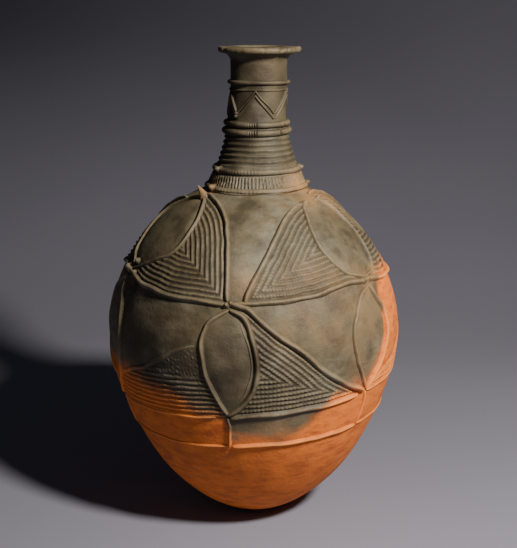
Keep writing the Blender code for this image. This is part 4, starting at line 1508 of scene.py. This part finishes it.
@dataclass
class Neck:
    """The neck with its flutes, rings, fringe and zigzag, and the rim."""

    maker: Maker
    clay: bpy.types.Material
    wall: float = 0.0055
    rim_radius: float = 0.0375
    rim_edge: float = 0.0024
    flute_bottom: float = 0.3464
    flute_pitch: float = 0.0049
    flute_count: int = 5
    flute_depth: float = 0.0013
    fringe_low: float = 0.3272
    fringe_high: float = 0.3366
    fringe_combs: int = 84
    zigzag: tuple[Place, ...] = ((-6.0, 0.4128), (35.0, 0.3912), (78.0, 0.4130), (114.0, 0.3915),
                                 (150.0, 0.4120), (186.0, 0.3912), (222.0, 0.4120), (256.0, 0.3912),
                                 (290.0, 0.4120), (316.4, 0.3912))
    pellet_corner: int = 9

    def build(self) -> None:
        """Builds the tube, rings, fringe, zigzag, pellets and rim."""
        self.build_tube()
        self.build_rings()
        self.build_fringe()
        self.build_zigzag()
        self.build_rim()

    @staticmethod
    def level(z: float, wave: float = 0.0, seed: int = 1) -> Route:
        """A level line round the neck, not quite true."""
        lumps = Lumps(seed, 0.05)
        angles = np.linspace(0.0, 330.0, 12)
        drift = lumps.at(WALL.place(angles, np.full(len(angles), z)))
        return Route([(float(angle), z + wave * float(d)) for angle, d in zip(angles, drift)], closed=True)

    def build_tube(self) -> None:
        """Turns the neck and cuts its flutes."""
        top = WALL.height - WALL.rim_thickness + 0.001
        heights = np.linspace(WALL.neck_base_z - 0.004, top, 224)
        bore = WALL.neck_radius - self.wall
        inner = np.linspace(WALL.neck_base_z - 0.004, top, 26)
        outline = [(float(r), float(z)) for r, z in zip(WALL.radius(heights[::-1]), heights[::-1])]
        outline += [(max(bore, float(r) - self.wall), float(z)) for r, z in zip(WALL.radius(inner), inner)]
        piece = Bench.turned("neck_wall", outline, 240, True)
        points = Bench.read(piece)
        radius = np.hypot(points[:, 0], points[:, 1])
        azimuth = bearings(points)
        z = points[:, 2]
        outside = radius > WALL.radius(z) - 0.001
        drift = 0.0005 * Lumps(31, 0.06).at(points) + 0.00025 * Lumps(32, 0.02).at(points)
        turns = (z + drift - self.flute_bottom) / self.flute_pitch
        wave = 0.5 + 0.5 * np.cos(2.0 * math.pi * turns)
        zone = ease(turns, -0.35, 0.25) * (1.0 - ease(turns, self.flute_count - 0.2, self.flute_count + 0.5))
        depth = self.flute_depth * zone * (1.0 - wave ** 1.3) * (1.0 + 0.25 * Lumps(33, 0.03).at(points))
        moved = points.copy()
        moved[:, 0] += WALL.lean(z)
        moved[outside] = WALL.place(azimuth[outside], z[outside], 0.0003 * zone[outside] - depth[outside])
        Bench.write(piece, moved)
        # Crest marks: flute hollows get low values and the inside of the neck 0.3, which the clay finish
        # turns into painted shade; flute ridges come out slightly lighter, a painted highlight.
        Bench.mark(piece, "crest", np.where(outside, 0.45 + zone * (wave * 0.55 - 0.35), 0.3))
        self.maker.finish(piece, self.clay, Slot.SMOKED, ("neck_tube",), 60.0)

    def build_rings(self) -> None:
        """Wraps the rings round the neck."""
        rings = (
            ("throat_ring", 0.4215, 0.0036, 0.0026, 0, 0.0, -180.0, 180.0),
            ("throat_bead", 0.4153, 0.0018, 0.0009, 0, 0.0, -180.0, 180.0),
            ("notched_ring_upper", 0.3839, 0.0050, 0.0032, 84, 0.62, -15.0, 46.0),
            ("notched_ring_lower", 0.3767, 0.0054, 0.0036, 84, 0.50, -15.0, 46.0),
            ("shoulder_collar_upper", 0.3416, 0.0046, 0.0030, 84, 0.20, -62.0, 60.0),
            ("shoulder_collar_lower", 0.3249, 0.0048, 0.0028, 84, 0.22, -60.0, 60.0),
        )
        for turn, (name, z, width, height, notches, depth, first, last) in enumerate(rings):
            hoop = Hoop(self.level(z, 0.0005, 40 + turn), width, height, seed=240 + turn, rings=560,
                        notches=notches, notch_depth=depth, notched_from=first, notched_to=last, slant=0.35)
            pieces = [hoop.shape(name)]
            pieces += self.pellets_on(name, z)
            whole = Bench.joined(pieces, f"{name}_coil")
            self.maker.finish(whole, self.clay, Slot.SMOKED, (name,))

    @staticmethod
    def pellets_on(name: str, z: float) -> list[bpy.types.Object]:
        """Small lumps pressed onto a ring where its ends meet."""
        spots = {
            "shoulder_collar_upper": ((-60.0, 0.0034, 0.0062), (80.0, 0.0032, 0.0056),
                                      (200.0, 0.0032, 0.0056)),
            "shoulder_collar_lower": ((-58.0, 0.0038, 0.0066), (96.0, 0.0034, 0.0058),
                                      (215.0, 0.0034, 0.0060)),
            "notched_ring_lower": ((44.0, 0.0030, 0.0056), (-120.0, 0.0030, 0.0052)),
            "notched_ring_upper": ((58.0, 0.0030, 0.0050),),
        }.get(name, ())
        return [Body.knob(azimuth, z, radius, height, 0.2, 300 + turn)
                for turn, (azimuth, radius, height) in enumerate(spots)]

    def build_fringe(self) -> None:
        """Combs upright grooves between the two collars."""
        piece = Bench.hoop("fringe", 16, 944)
        azimuth, outward, upward = Bench.round_hoop(piece)
        middle = 0.5 * (self.fringe_low + self.fringe_high)
        z = middle + 0.5 * (self.fringe_high - self.fringe_low) * 1.3 * upward
        spot = WALL.place(azimuth, z)
        drift = 0.35 * Lumps(51, 0.02).at(spot)
        wave = 0.5 + 0.5 * np.cos(np.radians(azimuth) * self.fringe_combs + drift * 2.0 + 1.1 * upward)
        front = 0.55 + 0.45 * np.cos(np.radians(azimuth) * 0.5) ** 2
        depth = 0.0022 * front * (0.8 + 0.3 * Lumps(52, 0.006).at(spot))
        combed = 0.0016 * ease(outward, -0.2, 0.6) - depth * (1.0 - wave ** 0.9)
        lift = np.where(outward > -0.2, combed, -0.0015)
        Bench.write(piece, WALL.place(azimuth, z, lift))
        Bench.mark(piece, "crest", np.clip(wave * 1.1 - 0.1, 0.0, 1.0))
        Bench.outwards(piece)
        self.maker.finish(piece, self.clay, Slot.SMOKED, (), 80.0)

    def zigzag_line(self, shift: float) -> Route:
        """One line of the zigzag.

        Args:
            shift: How far it is moved up the neck.

        Returns:
            The closed line.
        """
        corners = []
        for step, (azimuth, z) in enumerate(self.zigzag):
            following, height = self.zigzag[(step + 1) % len(self.zigzag)]
            following += FULL_TURN if following < azimuth else 0.0
            corners.append((azimuth, z + shift))
            for share in (0.12, 0.5, 0.88):
                corners.append((azimuth + share * (following - azimuth), z + (height - z) * share + shift))
        return Route(corners, closed=True, per_leg=6)

    def build_zigzag(self) -> None:
        """Lays the double zigzag fillet and its pellets."""
        lines = []
        for turn, shift in enumerate((-0.0021, 0.0021)):
            route = self.zigzag_line(shift)
            coil = Coil(route, 0.0021, 0.0015, 0.0, 0.0, 1.0, 1.0, seed=260 + turn, spacing=0.0009)
            lines.append(coil.shape(f"line_{turn}"))
        azimuth, z = self.zigzag[self.pellet_corner]
        lines.append(Body.knob(azimuth, z, 0.0024, 0.0032, 0.2, 270 + self.pellet_corner))
        lines.append(Body.knob(azimuth, z + 0.0028, 0.0022, 0.0030, 0.2, 280 + self.pellet_corner))
        piece = Bench.joined(lines, "zigzag")
        self.maker.finish(piece, self.clay, Slot.SMOKED, ("neck_zigzag",))

    def build_rim(self) -> None:
        """Turns the flat rim, then makes its edge wavy and chipped."""
        bore = WALL.neck_radius - self.wall
        top, bottom = WALL.height, WALL.height - WALL.rim_thickness
        arc = [math.radians(angle) for angle in range(80, -81, -20)]
        middle = 0.5 * (top + bottom)
        half = 0.5 * WALL.rim_thickness
        over = np.linspace(bore + 0.002, self.rim_radius - 0.0035, 7)
        under = np.linspace(self.rim_radius - 0.005, WALL.neck_radius + 0.003, 5)
        edge = self.rim_radius - self.rim_edge
        outline = [(float(r), top - 0.0002) for r in over]
        outline += [(edge + self.rim_edge * math.cos(a), middle + half * math.sin(a)) for a in arc]
        outline += [(float(r), bottom) for r in under]
        outline += [(bore + 0.001, bottom - 0.0005), (bore, middle), (bore + 0.0006, top - 0.0012)]
        piece = Bench.turned("rim", outline, 300, True)
        points = Bench.read(piece)
        radius = np.hypot(points[:, 0], points[:, 1])
        azimuth = bearings(points)
        reach = ease(radius, bore + 0.004, self.rim_radius - 0.001)
        chips = ((36.0, 5.0, 0.0022), (47.0, 2.5, 0.0012), (-62.0, 4.0, 0.0013), (150.0, 9.0, 0.0016),
                 (-140.0, 5.0, 0.0012), (8.0, 3.0, 0.0005), (84.0, 7.0, -0.0022), (-86.0, 9.0, -0.0010))
        cut = sum(deep * np.exp(-((azimuth - place) / wide) ** 2) for place, wide, deep in chips)
        wavy = 0.0005 * Lumps(61, 0.030).at(points) - 0.0005 + 0.0002 * Lumps(62, 0.008).at(points)
        scale = (radius + reach * (wavy - cut)) / radius
        points[:, :2] *= scale[:, None]
        sag = reach * (0.0007 * (1.0 + Lumps(63, 0.045).at(points)) + 0.45 * cut)
        points[:, 2] -= np.where(points[:, 2] > middle, sag, 0.3 * sag)
        points[:, 0] += WALL.lean(points[:, 2])
        Bench.write(piece, points)
        # Crest marks: the outer edge gets high values, a painted highlight in the clay finish, and the part
        # by the bore slight painted shade.
        Bench.mark(piece, "crest", 0.35 + 0.45 * reach)
        self.maker.finish(piece, self.clay, Slot.SMOKED, ("rim_disc",))


@dataclass(frozen=True)
class Studio:
    """Pale floor, soft key light from the right and the camera."""

    camera_place: tuple[float, float, float] = (0.004, -0.9983, 0.4897)
    camera_pitch: float = 14.144
    lens: float = 69.6
    key_azimuth: float = 38.5
    key_elevation: float = 40.0
    key_distance: float = 1.10
    key_energy: float = 25.0
    key_size: float = 0.14
    floor_colour: tuple[float, float, float] = (0.240, 0.240, 0.300)
    floor_flat: float = 0.50
    floor_bend: float = 1.3
    fill_energy: float = 2.0
    room_light: float = 0.036

    def build(self) -> None:
        """Sets the floor, the lights and the camera."""
        self.build_floor()
        self.build_lights()
        self.build_camera()

    def build_floor(self) -> None:
        """A seamless sheet: level under the pot, curving up far behind it."""
        Bench.clear()
        bpy.ops.mesh.primitive_grid_add(x_subdivisions=40, y_subdivisions=120, size=1.0)
        floor = bpy.context.object
        floor.name = "floor"
        unit = Bench.read(floor)
        run = -2.5 + 10.5 * (unit[:, 1] + 0.5)
        flat, bend = self.floor_flat, self.floor_bend
        angle = np.clip((run - flat) / bend, 0.0, 0.5 * math.pi)
        beyond = np.maximum(run - flat - bend * 0.5 * math.pi, 0.0)
        y = np.minimum(run, flat) + bend * np.sin(angle)
        z = bend * (1.0 - np.cos(angle)) + beyond
        Bench.write(floor, np.column_stack([unit[:, 0] * 12.0, y, z - 0.0002]))
        Bench.smooth(floor)
        paper = ClayTree("floor_paper")
        fine = paper.noise(500.0, 2.0)
        broad = paper.noise(1.4, 2.0)
        dark = tuple(0.92 * part for part in self.floor_colour)
        # Random broad mottling of the paper's own tone.
        shade = paper.mix(broad.eased(0.3, 0.7), dark, self.floor_colour)
        spot = paper.add("ShaderNodeSeparateXYZ", {}, {0: paper.places()})
        # Painted light falloff: the backdrop is painted darker up its curve and towards the left.
        painted_falloff = (spot.out(2).eased(0.02, 0.52) * (0.50 - 0.42 * spot.out(0))).clamp()
        paper.feed(paper.shader.inputs["Base Color"], paper.mix(painted_falloff, shade, (0.0, 0.0, 0.004)))
        bump = paper.add("ShaderNodeBump", {}, {"Strength": 0.08, "Distance": 0.0004, "Height": fine})
        paper.feed(paper.shader.inputs["Normal"], bump.out(0))
        paper.feed(paper.shader.inputs["Roughness"], 0.85)
        paper.feed(paper.shader.inputs["Specular IOR Level"], 0.2)
        floor.data.materials.append(paper.material)

    @staticmethod
    def lamp(name: str, place: Sequence[float], aim: Sequence[float], energy: float, size: float,
             colour: tuple[float, float, float]) -> None:
        """Adds a round area light.

        Args:
            name: Name of the light.
            place: Where it stands.
            aim: What it points at.
            energy: Watts.
            size: Diameter.
            colour: Its colour.
        """
        light = bpy.data.lights.new(name, "AREA")
        light.shape = "DISK"
        light.size = size
        light.energy = energy
        light.color = colour
        lamp = bpy.data.objects.new(name, light)
        bpy.context.scene.collection.objects.link(lamp)
        lamp.location = place
        way = np.array(aim) - np.array(place)
        across = math.hypot(way[0], way[1])
        heading = math.atan2(way[1], way[0]) - 0.5 * math.pi
        lamp.rotation_euler = (math.atan2(across, -way[2]), 0.0, heading)

    def build_lights(self) -> None:
        """Key light from the front right, a weak fill and a dim room."""
        turn, rise = math.radians(self.key_azimuth), math.radians(self.key_elevation)
        level = self.key_distance * math.cos(rise)
        place = (level * math.sin(turn), -level * math.cos(turn), 0.2 + self.key_distance * math.sin(rise))
        self.lamp("key", place, (0.0, 0.0, 0.2), self.key_energy, self.key_size, (1.0, 0.94, 0.84))
        self.lamp("fill", (-1.6, -2.2, 1.4), (0.0, 0.0, 0.2), self.fill_energy, 1.6, (0.85, 0.90, 1.0))
        world = bpy.data.worlds.new("room")
        world.use_nodes = True
        back = world.node_tree.nodes["Background"]
        back.inputs[0].default_value = (0.80, 0.82, 1.0, 1.0)
        back.inputs[1].default_value = self.room_light
        bpy.context.scene.world = world

    def build_camera(self) -> None:
        """Stands the camera in front of the pot, looking slightly down."""
        data = bpy.data.cameras.new("camera")
        data.lens = self.lens
        data.sensor_width = 36.0
        data.shift_y = -0.0023
        camera = bpy.data.objects.new("camera", data)
        bpy.context.scene.collection.objects.link(camera)
        camera.location = self.camera_place
        camera.rotation_euler = (math.radians(90.0 - self.camera_pitch), 0.0, 0.0)
        bpy.context.scene.camera = camera


def main() -> None:
    """Loads the frame and builds the pot and its studio."""
    logging.basicConfig(level=logging.INFO, format="%(name)s: %(message)s")
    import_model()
    Studio().build()
    maker = Maker()
    wall_clay = ClayFinish("wall_clay").make()
    coil_clay = ClayFinish("coil_clay", grain=0.8).make()
    combed_clay = ClayFinish("combed_clay", grain=1.2, crest_highlight=1.1).make()
    neck_clay = ClayFinish("neck_clay", grain=0.8).make()
    Body(maker, Pattern(), wall_clay, coil_clay, combed_clay).build()
    Neck(maker, neck_clay).build()
    LOG.info("%d pieces made", maker.made)


if __name__ == "__main__":
    main()
